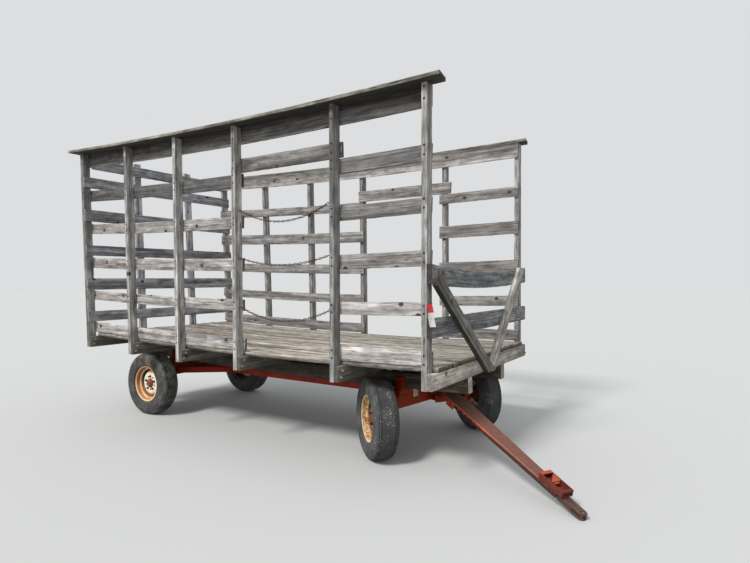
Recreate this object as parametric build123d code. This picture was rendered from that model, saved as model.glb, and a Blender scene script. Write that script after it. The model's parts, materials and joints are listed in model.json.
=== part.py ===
from build123d import *
import math
import os

# Hay wagon: a slatted timber rack on two main sills, carried by a steel running gear.
# Millimetres. +X forward, +Y the wagon's left, +Z up, ground at Z = 0.
# Bed sizes are laid out from the rear faces of the front posts, which are at X = 0
# until every piece is moved so that X = 0 is the middle of the whole length.
# Heights of the rack are measured up from the feet of its posts.

# Bed and rack
rear_bays = (890, 880, 910)
door_bay = 1240
front_bay = 930
bed_width = 2450
foot_z = 800
bed_sag = 40
bed_rise = 36
rear_lean = 155
post_thick = 50
post_deep = 98
post_height = 2500
board_thick = 25
board_end = 25
right_board_end = 6
board_inset = 8
door_board_end = 80
right_door_board_end = 25
cap_width = 190
cap_thick = 40
cap_overhang = 75
cap_end = 150
left_cap_front_end = 90
sill_thick = 50
sill_tall = 138
main_sill_wide = 100
main_sill_tall = 150
main_sill_y = 440
plank_count = 16
plank_thick = 42
plank_gap = 6
plank_end_gap = 5
seat_gap = 0.3

# Block nailed to the outside of the right main sill
block_x = -1400
block_long = 90
block_thick = 40
block_edge = 10

# Running gear
front_axle_x = -520
rear_axle_x = -4070
axle_skew = 8.5
beam_wide = 90
beam_tall = 90
beam_low = 446
beam_half = 622
front_low = 458
front_tall = 120
bolster_wide = 90
bolster_half = 595
seat_pad = 4
seat_inner = 370
stake_deep = 50
stake_gap = 5
stake_above = 120
blank_wide = 76
blank_tall = 76
blank_thick = 5
blank_high = 612
blank_y = -337
kingpin_y = 650
kingpin_r = 17
sleeve_r = 30
pin_play = 0.06
rear_plate_y = 640
rear_track_half = 820
plate_thick = 18
plate_half = 48
plate_low = 335
spindle_r = 28
spindle_out = 42
reach_up = 13
reach_wide = 90
reach_tall = 76
reach_wall = 6
hound_wide = 50
rear_hound_y = 470
rear_hound_long = 540
front_hound_y = 380
front_hound_long = 470

# Knuckles
knuckle_y = 38
ear_half = 35
ear_back = 2
ear_tall = 16
arm_long = 190
arm_wide = 40
moving_gap = 5

# Wheels
wheel_r = 385
tyre_wide = 240
bead_gap = 4
bead_flare = 2
wall_rise = 28
wall_tuck = 8
rim_seat_r = 203
rim_flange_r = 222
rim_well_r = 178
rim_half = 94
rim_sheet = 4
rim_ledge_half = 52
rim_well_half = 34
rim_bend = 3
disc_y = 26
disc_flat_r = 118
disc_bend_r = 150
disc_bend_y = 10
disc_edge_y = -16
disc_weld = 8
hub_r = 55
hub_flange_r = 104
hub_flange_thick = 14
hub_inward = 52
hub_outward = 40
hub_cap_r = 40
hub_cap_end = 66
hub_edge = 10
front_wheel_offset = 155

# Steering, turned to the right as parked
right_wheel_turn = 32.5
left_wheel_turn = 27.3
tongue_turn = 24.7
hinge_s = 185
yoke_pivot = 90
yoke_pin_r = 16
yoke_pin_end = 9
yoke_plate = 12
yoke_web = 62
lug_r = 32
lug_rises = (30, 100)
lever_long = 222
lever_spread = 45
rod_end_r = 20
rod_tall = 14
hinge_z = 547
hinge_pin_r = 12.5
pin_head_long = 12
pin_head_r = 21.5
cheek_thick = 12
cheek_end = 210
cheek_low = 512

# Tongue. Distances along it are measured from its hinge, heights from the hinge pin.
tongue_top = 36
tongue_deep = 42
tongue_sheet = 6
tongue_long = 1640
barrel_r = 30
root_half = 58
root_solid = 40
neck_end = 58
shoulder = 137
shoulder_half = 92
end_half = 50
side_plate_long = 121
side_plate_deep = 66
side_plate_thick = 8
box_back = 195
box_long = 255
box_half = 54
box_wall = 6
box_rise = 52
box_strip = 34
box_tube_r = 15
box_tube_inset = 17
clevis_inset = 55
clevis_out = 195
clevis_wide = 72
clevis_plate = 10
clevis_gap = 24
clevis_fork = 90
clevis_step = 2
groove_half = 5
groove_deep = 3
hitch_hole_r = 14
hitch_hole_back = 36
latch_inset = 40
latch_long = 90
latch_wide = 94
latch_thick = 6
latch_below = 2
latch_stem_r = 8
latch_stem_back = 14
latch_loop_r = 8
latch_loop_half = 22
latch_loop_drop = 12

# Worked out from the sizes above
bays = rear_bays + (door_bay, front_bay)
bed_length = sum(bays)
stations = [-sum(bays[i:]) for i in range(len(bays))] + [0]
rear_x, *_, door_rear_x, door_front_x, front_x = stations
outer_y = bed_width / 2
inner_y = outer_y - post_deep
rack_y = inner_y - board_thick
cross_front = post_thick + sill_thick
axle_top = beam_low + beam_tall
front_top = front_low + front_tall
skew = math.radians(axle_skew)
deck_top = sill_tall + plank_thick


def sag_at(x):
    """How far the bed hangs below the straight line between its end posts."""
    return 4 * bed_sag * (x + bed_length) * -x / bed_length**2


def bed_z(x, height):
    """The height above ground of a bed height at x."""
    return foot_z + height - sag_at(x) - bed_rise * x / bed_length


def lean_at(x, height):
    """How far the rack at x leans to the rear, at a height above the posts' feet."""
    return rear_lean * (x / bed_length)**2 * height / post_height


def block(x_from, x_to, y_from, y_to, z_from, z_to):
    """A box between two corners."""
    middle = Pos((x_from + x_to) / 2, (y_from + y_to) / 2, (z_from + z_to) / 2)
    return middle * Box(x_to - x_from, y_to - y_from, z_to - z_from)


def bent(plane, under, over, thick):
    """A bar between a lower arc and an upper arc back, each given by three points."""
    edges = [
        ThreePointArc(*under),
        Line(under[2], over[0]),
        ThreePointArc(*over),
        Line(over[2], under[0]),
    ]
    return extrude(plane * make_face(edges), amount=thick)


def bowed(x_from, x_to, y_from, y_to, low, high):
    """A long board that follows the bed's sag and rise."""
    along = (x_from, (x_from + x_to) / 2, x_to)
    under = [(x, bed_z(x, low)) for x in along]
    over = [(x, bed_z(x, high)) for x in reversed(along)]
    return Pos(0, y_to, 0) * bent(Plane.XZ, under, over, y_to - y_from)


def leaning(station, x_from, x_to, y_from, y_to, z_from, z_to):
    """An upright piece at a pair of posts, which leans to the rear as they do."""
    foot = bed_z(station, 0)
    low = lean_at(station, z_from - foot)
    high = lean_at(station, z_to - foot)
    points = [
        (x_from - low, z_from),
        (x_to - low, z_from),
        (x_to - high, z_to),
        (x_from - high, z_to),
    ]
    face = Plane.XZ * make_face(Polyline(*points, close=True))
    return Pos(0, y_to, 0) * extrude(face, amount=y_to - y_from)


def prism(points, z_from, z_to):
    """An upright prism on an outline drawn in plan."""
    outline = make_face(Polyline(*points, close=True))
    return Pos(0, 0, z_from) * extrude(outline, amount=z_to - z_from)


def round_bar(z_from, z_to, radius, x=0, y=0):
    """An upright round bar."""
    bar = Cylinder(radius, z_to - z_from)
    return Pos(x, y, (z_from + z_to) / 2) * bar


def cross_bar(y_from, y_to, radius, x=0, z=0):
    """A round bar along Y."""
    bar = Rot(90, 0, 0) * Cylinder(radius, abs(y_to - y_from))
    return Pos(x, (y_from + y_to) / 2, z) * bar


# Timber bed

def cross_sill(x):
    """One sill on the front side of a pair of posts, between main sills and planks."""
    edges = (x + post_thick, x + cross_front)
    low = max(bed_z(edge, 0) for edge in edges) + seat_gap
    high = min(bed_z(edge, sill_tall) for edge in edges) - seat_gap
    return leaning(x, edges[0], edges[1], -outer_y, outer_y, low, high)


def main_sill(side):
    """A heavy timber along the bed, on both bolsters."""
    y = side * main_sill_y
    half = main_sill_wide / 2
    return bowed(rear_x, cross_front, y - half, y + half, -main_sill_tall, 0)


def deck_planks():
    """Planks along the bed, with a gap between each pair."""
    pitch = (2 * rack_y - plank_gap) / plank_count
    rear = rear_x + post_thick + plank_end_gap
    planks = []
    for i in range(plank_count):
        y = -rack_y + plank_gap + i * pitch
        planks.append(bowed(rear, cross_front, y, y + pitch - plank_gap, sill_tall, deck_top))
    return planks


def post(x, side):
    """A rack post, from the underside of the cross sills to the cap."""
    y = sorted((side * inner_y, side * outer_y))
    back = lean_at(x, post_height)
    top = min(bed_z(edge - back, post_height) for edge in (x, x + post_thick)) - seat_gap
    return leaning(x, x, x + post_thick, y[0], y[1], bed_z(x, 0), top)


# Side boards, on the inner faces of the posts. Heights above the posts' feet.
side_top = post_height - 4
side_top_wide = 166
# Columns: low edge, high edge, first post, last post, reach behind, reach ahead.
right_table = [
    (side_top - side_top_wide, side_top, rear_x, front_x, 0, -board_inset),
    (1885, 2025, rear_x, door_rear_x, 0, right_board_end),
    (1458, 1587, rear_x, door_rear_x, 0, right_board_end),
    (1016, 1149, rear_x, door_rear_x, 0, right_board_end),
    (602, 719, rear_x, door_rear_x, 0, right_board_end),
    (2035, 2180, door_rear_x, door_front_x, 0, right_door_board_end),
    (1885, 2025, door_front_x, front_x, 0, -board_inset),
    (1458, 1587, door_front_x, front_x, 0, -board_inset),
    (1016, 1149, door_front_x, front_x, 0, -board_inset),
    (602, 719, door_front_x, front_x, 0, -board_inset),
]
left_table = [
    (side_top - side_top_wide, side_top, rear_x, front_x, 0, 0),
    (1871, 1991, rear_x, door_rear_x, 0, board_end),
    (1438, 1587, rear_x, door_rear_x, 0, board_end),
    (1000, 1132, rear_x, door_rear_x, 0, board_end),
    (590, 712, rear_x, door_rear_x, 0, board_end),
    (1996, 2140, door_rear_x, door_front_x, 0, door_board_end),
    (1871, 1991, door_front_x, front_x, board_end, 0),
    (1438, 1587, door_front_x, front_x, board_end, 0),
    (1000, 1132, door_front_x, front_x, board_end, 0),
    (590, 712, door_front_x, front_x, board_end, 0),
]
# Columns: low edge, high edge, first post, last post, reach behind, reach ahead.
toe_high = 314
toe_table = [
    (sill_tall, toe_high, rear_x, door_rear_x, 0, board_end),
    (sill_tall, toe_high, door_front_x, front_x, 0, 0),
]


def side_board(side, low, high, first, last, behind, ahead):
    """One board nailed across a run of posts. Its ends follow the posts' lean."""
    y = sorted((side * rack_y, side * inner_y))
    middle = (low + high) / 2
    x_from = first - lean_at(first, middle) - behind
    x_to = last - lean_at(last, middle) + post_thick + ahead
    return bowed(x_from, x_to, y[0], y[1], low, high)


cap_rear = rear_x - rear_lean - cap_end


def cap(side):
    """A flat plank along the tops of the posts."""
    outer = outer_y + cap_overhang
    y = sorted((side * (outer - cap_width), side * outer))
    front_end = left_cap_front_end if side > 0 else cap_end
    return bowed(cap_rear, post_thick + front_end, y[0], y[1],
                 post_height, post_height + cap_thick)


# Rear wall, on the front faces of the rear posts. Heights above the posts' feet.
rear_post_y = 430
rear_top = post_height - 50
rear_top_wide = 136
# Columns: low edge, high edge, half length. The top board fits between the side boards.
rear_table = [
    (rear_top - rear_top_wide, rear_top, rack_y - seat_gap),
    (2058, 2199, outer_y),
    (1622, 1774, outer_y),
    (1176, 1310, outer_y),
    (730, 880, outer_y),
    (320, 452, outer_y),
]


def rear_post(side):
    """One of the two posts inside the rear wall."""
    y = side * rear_post_y
    half = post_deep / 2
    return leaning(rear_x, rear_x, rear_x + post_thick, y - half, y + half,
                   bed_z(rear_x, 0), bed_z(rear_x, post_height))


def rear_board(low, high, half):
    """A board across the rear posts."""
    x = rear_x + post_thick
    return leaning(rear_x, x, x + board_thick, -half, half,
                   bed_z(rear_x, low), bed_z(rear_x, high))


# Front rack: two boards on the front posts and two braces. Heights above the feet.
# Columns: low edge, high edge, dip at the middle.
front_table = [
    (870, 1030, 46),
    (430, 590, 4),
]
# Columns: side, where the middle line of the brace reaches its top's height. The right one
# would pass the corner there, so its end is cut off flush with the ends of the boards.
right_brace_past = 115
left_brace_short = 250
brace_table = [
    (-1, outer_y + right_brace_past),
    (1, outer_y - left_brace_short),
]
brace_wide = 112
brace_top = 1035


def front_board(low, high, dip):
    """A thick board across the front posts, bowed down at its middle."""
    z_low = foot_z + low
    z_high = foot_z + high
    under = [(-outer_y, z_low), (0, z_low - dip), (outer_y, z_low)]
    over = [(outer_y, z_high), (0, z_high - dip), (-outer_y, z_high)]
    return Pos(post_thick, 0, 0) * bent(Plane.YZ, under, over, sill_thick)


def front_brace(side, reach):
    """A brace from the rack's upper corner to the middle of the front sill."""
    rise = brace_top
    across = brace_wide / 2 * math.hypot(rise, reach) / rise
    points = [
        (side * (-reach - across), foot_z - rise),
        (side * (-reach + across), foot_z - rise),
        (side * (2 * reach + across), foot_z + 2 * rise),
        (side * (2 * reach - across), foot_z + 2 * rise),
    ]
    length = make_face(Polyline(*points, close=True))
    wide = outer_y - seat_gap
    middle = side * (seat_gap + wide / 2)
    room = Pos(middle, foot_z + rise / 2) * Rectangle(wide, rise)
    face = Plane.YZ * (length & room)
    return Pos(cross_front, 0, 0) * extrude(face, amount=post_thick)


# Chains across the right doorway. Columns: height of both ends, sag at the middle.
chain_table = [
    (1630, 140),
    (1145, 80),
    (640, 120),
]
chain_thick = 14
chain_y = inner_y + post_deep / 2
eye_out = 34
eye_r = 13
eye_wire = 4
eye_clear = 0.1


def chain_ends(height):
    """The faces of the two door posts at a chain's height."""
    rear = door_rear_x + post_thick - lean_at(door_rear_x, height)
    front = door_front_x - lean_at(door_front_x, height)
    return rear, front


def chain(height, sag):
    """A chain from post to post, hanging in a shallow arc."""
    rear, front = chain_ends(height)
    x_from = rear + eye_out
    x_to = front - eye_out
    x_mid = (x_from + x_to) / 2
    ends = [bed_z(x, height) for x in (rear, front)]
    low = sum(ends) / 2 - sag
    half = chain_thick / 2
    under = [(x_from, ends[0] - half), (x_mid, low - half), (x_to, ends[1] - half)]
    over = [(x_to, ends[1] + half), (x_mid, low + half), (x_from, ends[0] + half)]
    return Pos(0, -chain_y + half, 0) * bent(Plane.XZ, under, over, chain_thick)


def chain_eye(x_face, ahead, height):
    """A screw eye in a post's face. Its ring stands just clear of the chain's end."""
    reach = eye_out - seat_gap
    half = eye_wire / 2
    ring = cross_bar(-half, half, eye_r) - cross_bar(-half, half, eye_r - eye_wire)
    ends = sorted((0, ahead * (reach - 2 * eye_r + half)))
    shank = block(ends[0], ends[1], -half, half, -half, half)
    eye = shank + Pos(ahead * (reach - eye_r), 0, 0) * ring
    return Pos(x_face, -chain_y, bed_z(x_face, height)) * eye


def chain_eyes():
    """The screw eyes at both ends of every chain. Each shank starts in its post's face."""
    eyes = []
    for height, _ in chain_table:
        rear, front = chain_ends(height)
        eyes.append(chain_eye(rear + eye_clear, 1, height))
        eyes.append(chain_eye(front - eye_clear, -1, height))
    return eyes


def sill_block():
    """A short block on the right main sill's outer face."""
    y = -main_sill_y - main_sill_wide / 2
    low = bed_z(block_x, block_edge - main_sill_tall)
    high = bed_z(block_x, -block_edge)
    half = block_long / 2
    return block(block_x - half, block_x + half, y - block_thick, y, low, high)


# Running gear

def bolster(x, turn, low):
    """A beam turned with its axle. Each main sill lies on a pad, with a stake outside it."""
    half = bolster_wide / 2
    sill_half = main_sill_wide / 2
    sill_out = main_sill_y + sill_half
    run = half * math.cos(turn) + sill_half * math.tan(turn)
    seats = {}
    for side in (-1, 1):
        at = x + side * main_sill_y * math.tan(turn)
        edges = (at - run, at + run)
        seats[side] = min(bed_z(edge, -main_sill_tall) for edge in edges) - seat_gap
    top = min(seats.values()) - seat_pad
    body = block(-half, half, -bolster_half, bolster_half, low, top)
    near = (sill_out + stake_gap + half * math.sin(turn)) / math.cos(turn)
    for side in (-1, 1):
        y = sorted((side * near, side * (near + stake_deep)))
        body += block(-half, half, y[0], y[1], low, top + stake_above)
        pad = sorted((side * seat_inner, side * near))
        body += block(-half, half, pad[0], pad[1], top, seats[side])
    return Pos(x, 0, 0) * Rot(0, 0, -math.degrees(turn)) * body


on_axle = Pos(front_axle_x, 0, 0) * Rot(0, 0, -axle_skew)
lug_heights = [front_low + rise for rise in lug_rises]
yoke_low = front_low - moving_gap - yoke_plate
yoke_high = lug_heights[1] + yoke_plate + moving_gap
yoke_top = yoke_high + yoke_plate


def bolster_plate():
    """A small blank steel plate on the front faces of the front axle and its bolster."""
    x = bolster_wide / 2
    half = blank_wide / 2
    return on_axle * block(x, x + blank_thick, blank_y - half, blank_y + half,
                           blank_high - blank_tall, blank_high)


def front_axle():
    """The front axle beam with its kingpin sleeves, and the tongue's lugs and pin."""
    half = beam_wide / 2
    body = block(-half, half, -beam_half, beam_half, front_low, front_top)
    for z in lug_heights:
        lug = block(half, yoke_pivot, -lug_r, lug_r, z, z + yoke_plate)
        body += lug + round_bar(z, z + yoke_plate, lug_r, yoke_pivot)
    body += round_bar(yoke_low - yoke_pin_end, yoke_top + yoke_pin_end, yoke_pin_r, yoke_pivot)
    for side in (-1, 1):
        body += round_bar(front_low, front_top, sleeve_r, 0, side * kingpin_y)
    for side in (-1, 1):
        body -= round_bar(front_low - 1, front_top + 1, kingpin_r + pin_play,
                          0, side * kingpin_y)
    return on_axle * body


reach_low = beam_low + reach_up
reach_high = reach_low + reach_tall


def axle_back(y):
    """The x of the skewed front axle's rear face, at y."""
    return front_axle_x - beam_wide / 2 / math.cos(skew) + y * math.tan(skew)


def reach():
    """The pole between the axles. Its front end is cut to the skewed axle."""
    half = reach_wide / 2
    rear = rear_axle_x + beam_wide / 2
    points = [(rear, -half), (axle_back(-half), -half), (axle_back(half), half), (rear, half)]
    tube = prism(points, reach_low, reach_high)
    inner = half - reach_wall
    return tube - block(rear_axle_x, front_axle_x, -inner, inner,
                        reach_low + reach_wall, reach_high - reach_wall)


def rear_hound(side):
    """A brace from the rear axle forward to the side of the reach."""
    x = rear_axle_x + beam_wide / 2
    half = reach_wide / 2
    slope = rear_hound_long / (rear_hound_y - half)
    points = [
        (x, side * rear_hound_y),
        (x, side * (rear_hound_y - hound_wide)),
        (x + rear_hound_long - hound_wide * slope, side * half),
        (x + rear_hound_long, side * half),
    ]
    return prism(points, reach_low, reach_high)


def front_hound(side):
    """A brace from the front axle back to the side of the reach."""
    half = reach_wide / 2
    outer = side * front_hound_y
    inner = side * (front_hound_y - hound_wide)
    end = front_axle_x - front_hound_long
    slope = (axle_back(outer) - end) / (front_hound_y - half)
    points = [
        (axle_back(outer), outer),
        (axle_back(inner), inner),
        (end + hound_wide * slope, side * half),
        (end, side * half),
    ]
    return prism(points, reach_low, reach_high)


def rear_axle():
    """The rear axle beam, with a drop plate and a spindle at each end."""
    half = beam_wide / 2
    x = rear_axle_x
    y = rear_plate_y
    body = block(x - half, x + half, -y, y, beam_low, axle_top)
    for side in (-1, 1):
        ends = sorted((side * y, side * (y + plate_thick)))
        body += block(x - plate_half, x + plate_half, ends[0], ends[1], plate_low, axle_top)
        body += cross_bar(side * y, side * (rear_track_half + spindle_out), spindle_r, x, wheel_r)
    return body


# Front end pieces that steer

ear_low = front_low - moving_gap - ear_tall
ear_high = front_top + moving_gap
wheel_turn = {-1: right_wheel_turn, 1: left_wheel_turn}


def knuckle(side):
    """A steering knuckle: two ears and a kingpin, a spindle, and an arm to the rear."""
    inward = -side * (sleeve_r + ear_back)
    ears = sorted((inward, side * knuckle_y))
    body = block(-ear_half, ear_half, ears[0], ears[1], ear_low, ear_low + ear_tall)
    body += block(-ear_half, ear_half, ears[0], ears[1], ear_high, ear_high + ear_tall)
    plate = sorted((side * knuckle_y, side * (knuckle_y + plate_thick)))
    body += block(-plate_half, plate_half, plate[0], plate[1], plate_low, ear_high + ear_tall)
    body += round_bar(ear_low, ear_high + ear_tall, kingpin_r)
    body += cross_bar(side * knuckle_y, side * (front_wheel_offset + spindle_out), spindle_r,
                      0, wheel_r)
    half = arm_wide / 2
    body += block(-arm_long, 0, -half, half, ear_low, ear_low + ear_tall)
    body += round_bar(ear_low, ear_low + ear_tall, half, -arm_long)
    return body


def knuckle_frame(side):
    """Where a knuckle stands: its kingpin, turned as parked."""
    return on_axle * Pos(0, side * kingpin_y, 0) * Rot(0, 0, -wheel_turn[side])


on_yoke = on_axle * Pos(yoke_pivot, 0, 0) * Rot(0, 0, -tongue_turn)
cheek_y = root_half + moving_gap
cheek_out = cheek_y + cheek_thick


def steering_yoke():
    """Turns on the axle's upright pin. It holds the tongue and, below, the tie rods."""
    upper = [(0, -lug_r), (yoke_web, -cheek_out), (yoke_web, cheek_out), (0, lug_r)]
    body = prism(upper, yoke_high, yoke_top)
    body += round_bar(yoke_high, yoke_top, lug_r)
    tail_x = -lever_long - rod_end_r
    tail_y = lever_spread + rod_end_r
    lower = [
        (yoke_web, -cheek_out),
        (yoke_web, cheek_out),
        (0, lug_r),
        (tail_x, tail_y),
        (tail_x, -tail_y),
        (0, -lug_r),
    ]
    body += prism(lower, yoke_low, yoke_low + yoke_plate)
    body += block(yoke_web, yoke_web + cheek_thick, -cheek_out, cheek_out, yoke_low, yoke_top)
    for side in (-1, 1):
        y = sorted((side * cheek_y, side * cheek_out))
        body += block(yoke_web, cheek_end, y[0], y[1], cheek_low, yoke_top)
    body -= round_bar(yoke_low - 1, yoke_top + 1, yoke_pin_r + pin_play)
    body -= cross_bar(-cheek_out - 1, cheek_out + 1, hinge_pin_r + seat_gap, hinge_s, hinge_z)
    return on_yoke * body


def hinge_pin():
    """The pin that the tongue hinges on, with a head just outside each cheek."""
    end = cheek_out + seat_gap
    body = cross_bar(-end, end, hinge_pin_r)
    for side in (-1, 1):
        body += cross_bar(side * end, side * (end + pin_head_long), pin_head_r)
    return on_yoke * Pos(hinge_s, 0, hinge_z) * body


def rod_ends(side):
    """The two ends of a tie rod: under the yoke's tail and under the knuckle's arm."""
    inner = on_yoke * Pos(-lever_long, side * lever_spread, 0)
    outer = knuckle_frame(side) * Pos(-arm_long, 0, 0)
    return inner.position, outer.position


def tie_rod(side):
    """A rod from the yoke's tail to the knuckle's arm, with a flat eye at each end."""
    inner, outer = rod_ends(side)
    top = min(ear_low, yoke_low) - seat_gap
    low = top - rod_tall
    body = round_bar(low, top, rod_end_r, inner.X, inner.Y)
    body += round_bar(low, top, rod_end_r, outer.X, outer.Y)
    along = outer - inner
    turn = math.degrees(math.atan2(along.Y, along.X))
    middle = (inner + outer) / 2
    bar = Box(along.length, rod_tall, rod_tall)
    body += Pos(middle.X, middle.Y, (low + top) / 2) * Rot(0, 0, turn) * bar
    return body


# Tongue pieces, along the tongue from its hinge. It slopes down until the lower corner
# of its clevis meets the ground.

box_from = tongue_long - box_back
box_to = box_from + box_long
box_top = tongue_top + box_rise
tongue_under = tongue_top - tongue_deep
clevis_from = box_from + clevis_inset
clevis_to = box_to + clevis_out
clevis_top = tongue_top - tongue_sheet - seat_gap
clevis_low = clevis_top - 2 * clevis_plate - clevis_gap
tongue_pitch = math.degrees(
    math.asin(hinge_z / math.hypot(clevis_to, clevis_low))
    - math.atan2(-clevis_low, clevis_to)
)
on_tongue = on_yoke * Pos(hinge_s, 0, hinge_z) * Rot(0, tongue_pitch, 0)


def both_sides(points):
    """A plan outline from its left half, which runs from the rear to the front."""
    return points + [(x, -y) for x, y in reversed(points)]


def tongue_channel():
    """A tapered channel, open below, with a hinge barrel and two side plates at its root."""
    wide = [
        (0, root_half),
        (neck_end, root_half),
        (shoulder, shoulder_half),
        (tongue_long, end_half),
    ]
    hollow = [
        (root_solid, root_half - tongue_sheet),
        (neck_end, root_half - tongue_sheet),
        (shoulder, shoulder_half - tongue_sheet),
        (tongue_long + 1, end_half - tongue_sheet),
    ]
    body = prism(both_sides(wide), tongue_under, tongue_top)
    body -= prism(both_sides(hollow), tongue_under - 1, tongue_top - tongue_sheet)
    body += cross_bar(-root_half, root_half, barrel_r)
    body -= cross_bar(-root_half - 1, root_half + 1, hinge_pin_r + seat_gap)
    taper = (shoulder_half - end_half) / (tongue_long - shoulder)
    front = shoulder_half - taper * side_plate_long
    for side in (-1, 1):
        points = [
            (shoulder, side * shoulder_half),
            (shoulder + side_plate_long, side * front),
            (shoulder + side_plate_long, side * (front + side_plate_thick)),
            (shoulder, side * (shoulder_half + side_plate_thick)),
        ]
        body += prism(points, tongue_top - side_plate_deep, tongue_top)
    return on_tongue * body


def hitch_box():
    """An open channel on top of the tongue's end. A strip joins its walls at the rear and a
    tube at the front."""
    low = tongue_top + seat_gap
    inner = box_half - box_wall
    body = block(box_from, box_to, -box_half, box_half, low, box_top)
    body -= block(box_from + box_wall, box_to + 1, -inner, inner, low + box_wall, box_top + 1)
    body += block(box_from, box_from + box_strip, -box_half, box_half,
                  box_top - box_wall, box_top)
    body += cross_bar(-box_half, box_half, box_tube_r, box_to - box_tube_inset,
                      box_top - box_tube_inset)
    return on_tongue * body


def hitch_clevis():
    """A two-plate clevis under the box, inside the tongue, with a pin hole near its tip."""
    half = clevis_wide / 2
    centre = clevis_to - half
    fork = box_to + clevis_fork
    body = block(clevis_from, centre, -half, half, clevis_low, clevis_top)
    body += round_bar(clevis_low, clevis_top, half, centre)
    body -= block(fork, clevis_to + 1, -half - 1, half + 1,
                  clevis_low + clevis_plate, clevis_top - clevis_plate)
    body -= block(clevis_from - 1, tongue_long + clevis_step, -half - 1, half + 1,
                  clevis_low - 1, tongue_under)
    body -= block(clevis_from - 1, fork, -groove_half, groove_half,
                  clevis_top - groove_deep, clevis_top + 1)
    body -= round_bar(clevis_low - 1, clevis_top + 1, hitch_hole_r, clevis_to - hitch_hole_back)
    return on_tongue * body


def hitch_latch():
    """A spring latch in the box: a three-cornered plate on a stem, with a finger bar."""
    start = box_from + latch_inset
    end = start + latch_long
    half = latch_wide / 2
    top = box_top - latch_below
    low = tongue_top + box_wall + 2 * seat_gap
    body = prism([(start, half), (end, half), (end, -half)], top - latch_thick, top)
    body += round_bar(low, top - latch_thick / 2, latch_stem_r, end - latch_stem_back)
    loop_x = end + latch_loop_r
    loop_z = top - latch_loop_drop
    body += cross_bar(-latch_loop_half, latch_loop_half, latch_loop_r, loop_x, loop_z)
    body += block(end - latch_stem_back, loop_x, -latch_stem_r, latch_stem_r,
                  loop_z - latch_thick / 2, loop_z + latch_thick / 2)
    return on_tongue * body


# Wheels, about an axle on Y with the outer side at +Y

# Columns: how far below the tread's top, how far in from the tyre's widest.
tyre_table = [
    (95, 0),
    (45, 6),
    (14, 24),
    (3, 42),
    (0, 62),
]


def tyre():
    """An implement tyre's plain body, as a ring around the rim."""
    half = tyre_wide / 2
    bead = rim_half - rim_sheet - seat_gap - bead_gap
    profile = [
        (rim_seat_r + seat_gap, bead),
        (rim_flange_r, bead + bead_flare),
        (rim_flange_r + wall_rise, half - wall_tuck),
    ]
    profile += [(wheel_r - below, half - inward) for below, inward in tyre_table]
    other = [(r, -y) for r, y in reversed(profile)]
    return revolve(make_face(Polyline(*profile, *other, close=True)), Axis.Y)


def rim():
    """A steel rim with a drop centre and a dished disc."""
    sheet = rim_sheet
    seat = rim_seat_r
    well = rim_well_r
    half = rim_half
    hole = hub_r + 2
    ledge = rim_ledge_half
    middle = rim_well_half
    # Columns: radius, distance along the axle. The tyre's side first, then the inside.
    profile = [
        (rim_flange_r, -half),
        (rim_flange_r, -half + sheet),
        (seat, -half + 2 * sheet),
        (seat, -ledge),
        (well, -middle),
        (well, middle),
        (seat, ledge),
        (seat, half - 2 * sheet),
        (rim_flange_r, half - sheet),
        (rim_flange_r, half),
        (seat - sheet, half - sheet),
        (seat - sheet, ledge + rim_bend),
        (well - sheet, middle + rim_bend),
        (well - sheet, disc_edge_y + disc_weld),
        (disc_bend_r, disc_bend_y + sheet),
        (disc_flat_r, disc_y + sheet),
        (hole, disc_y + sheet),
        (hole, disc_y),
        (disc_flat_r, disc_y),
        (disc_bend_r, disc_bend_y),
        (well - sheet, disc_edge_y),
        (well - sheet, -middle - rim_bend),
        (seat - sheet, -ledge - rim_bend),
        (seat - sheet, -half + sheet),
    ]
    return revolve(make_face(Polyline(*profile, close=True)), Axis.Y)


def hub():
    """A hub that turns on the spindle, with a flange behind the disc and a cap."""
    bore = spindle_r + pin_play
    flange_back = disc_y - hub_flange_thick
    profile = [
        (bore, -hub_inward),
        (hub_r - hub_edge, -hub_inward),
        (hub_r, -hub_inward + hub_edge),
        (hub_r, flange_back),
        (hub_flange_r, flange_back),
        (hub_flange_r, disc_y),
        (hub_r, disc_y),
        (hub_r, hub_outward),
        (hub_cap_r, hub_outward + hub_edge),
        (hub_cap_r, hub_cap_end - hub_edge),
        (hub_cap_r - hub_edge, hub_cap_end - 2),
        (0, hub_cap_end),
        (0, spindle_out + moving_gap),
        (bore, spindle_out + moving_gap),
    ]
    return revolve(make_face(Polyline(*profile, close=True)), Axis.Y)


def wheel_frame(end, side):
    """Where a wheel stands: the middle of its tyre, outer side away from the wagon."""
    outward = Rot(0, 0, 0 if side == 1 else 180)
    if end == "rear":
        return Pos(rear_axle_x, side * rear_track_half, wheel_r) * outward
    return knuckle_frame(side) * Pos(0, side * front_wheel_offset, wheel_r) * outward


# The whole length runs from the caps' rear ends to the tip of the tongue.
tip = (on_tongue * Pos(clevis_to, 0, clevis_low)).position
tip_round = clevis_wide / 4
middle_x = (cap_rear + tip.X + tip_round) / 2
place = Pos(-middle_x, 0, 0)

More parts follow.
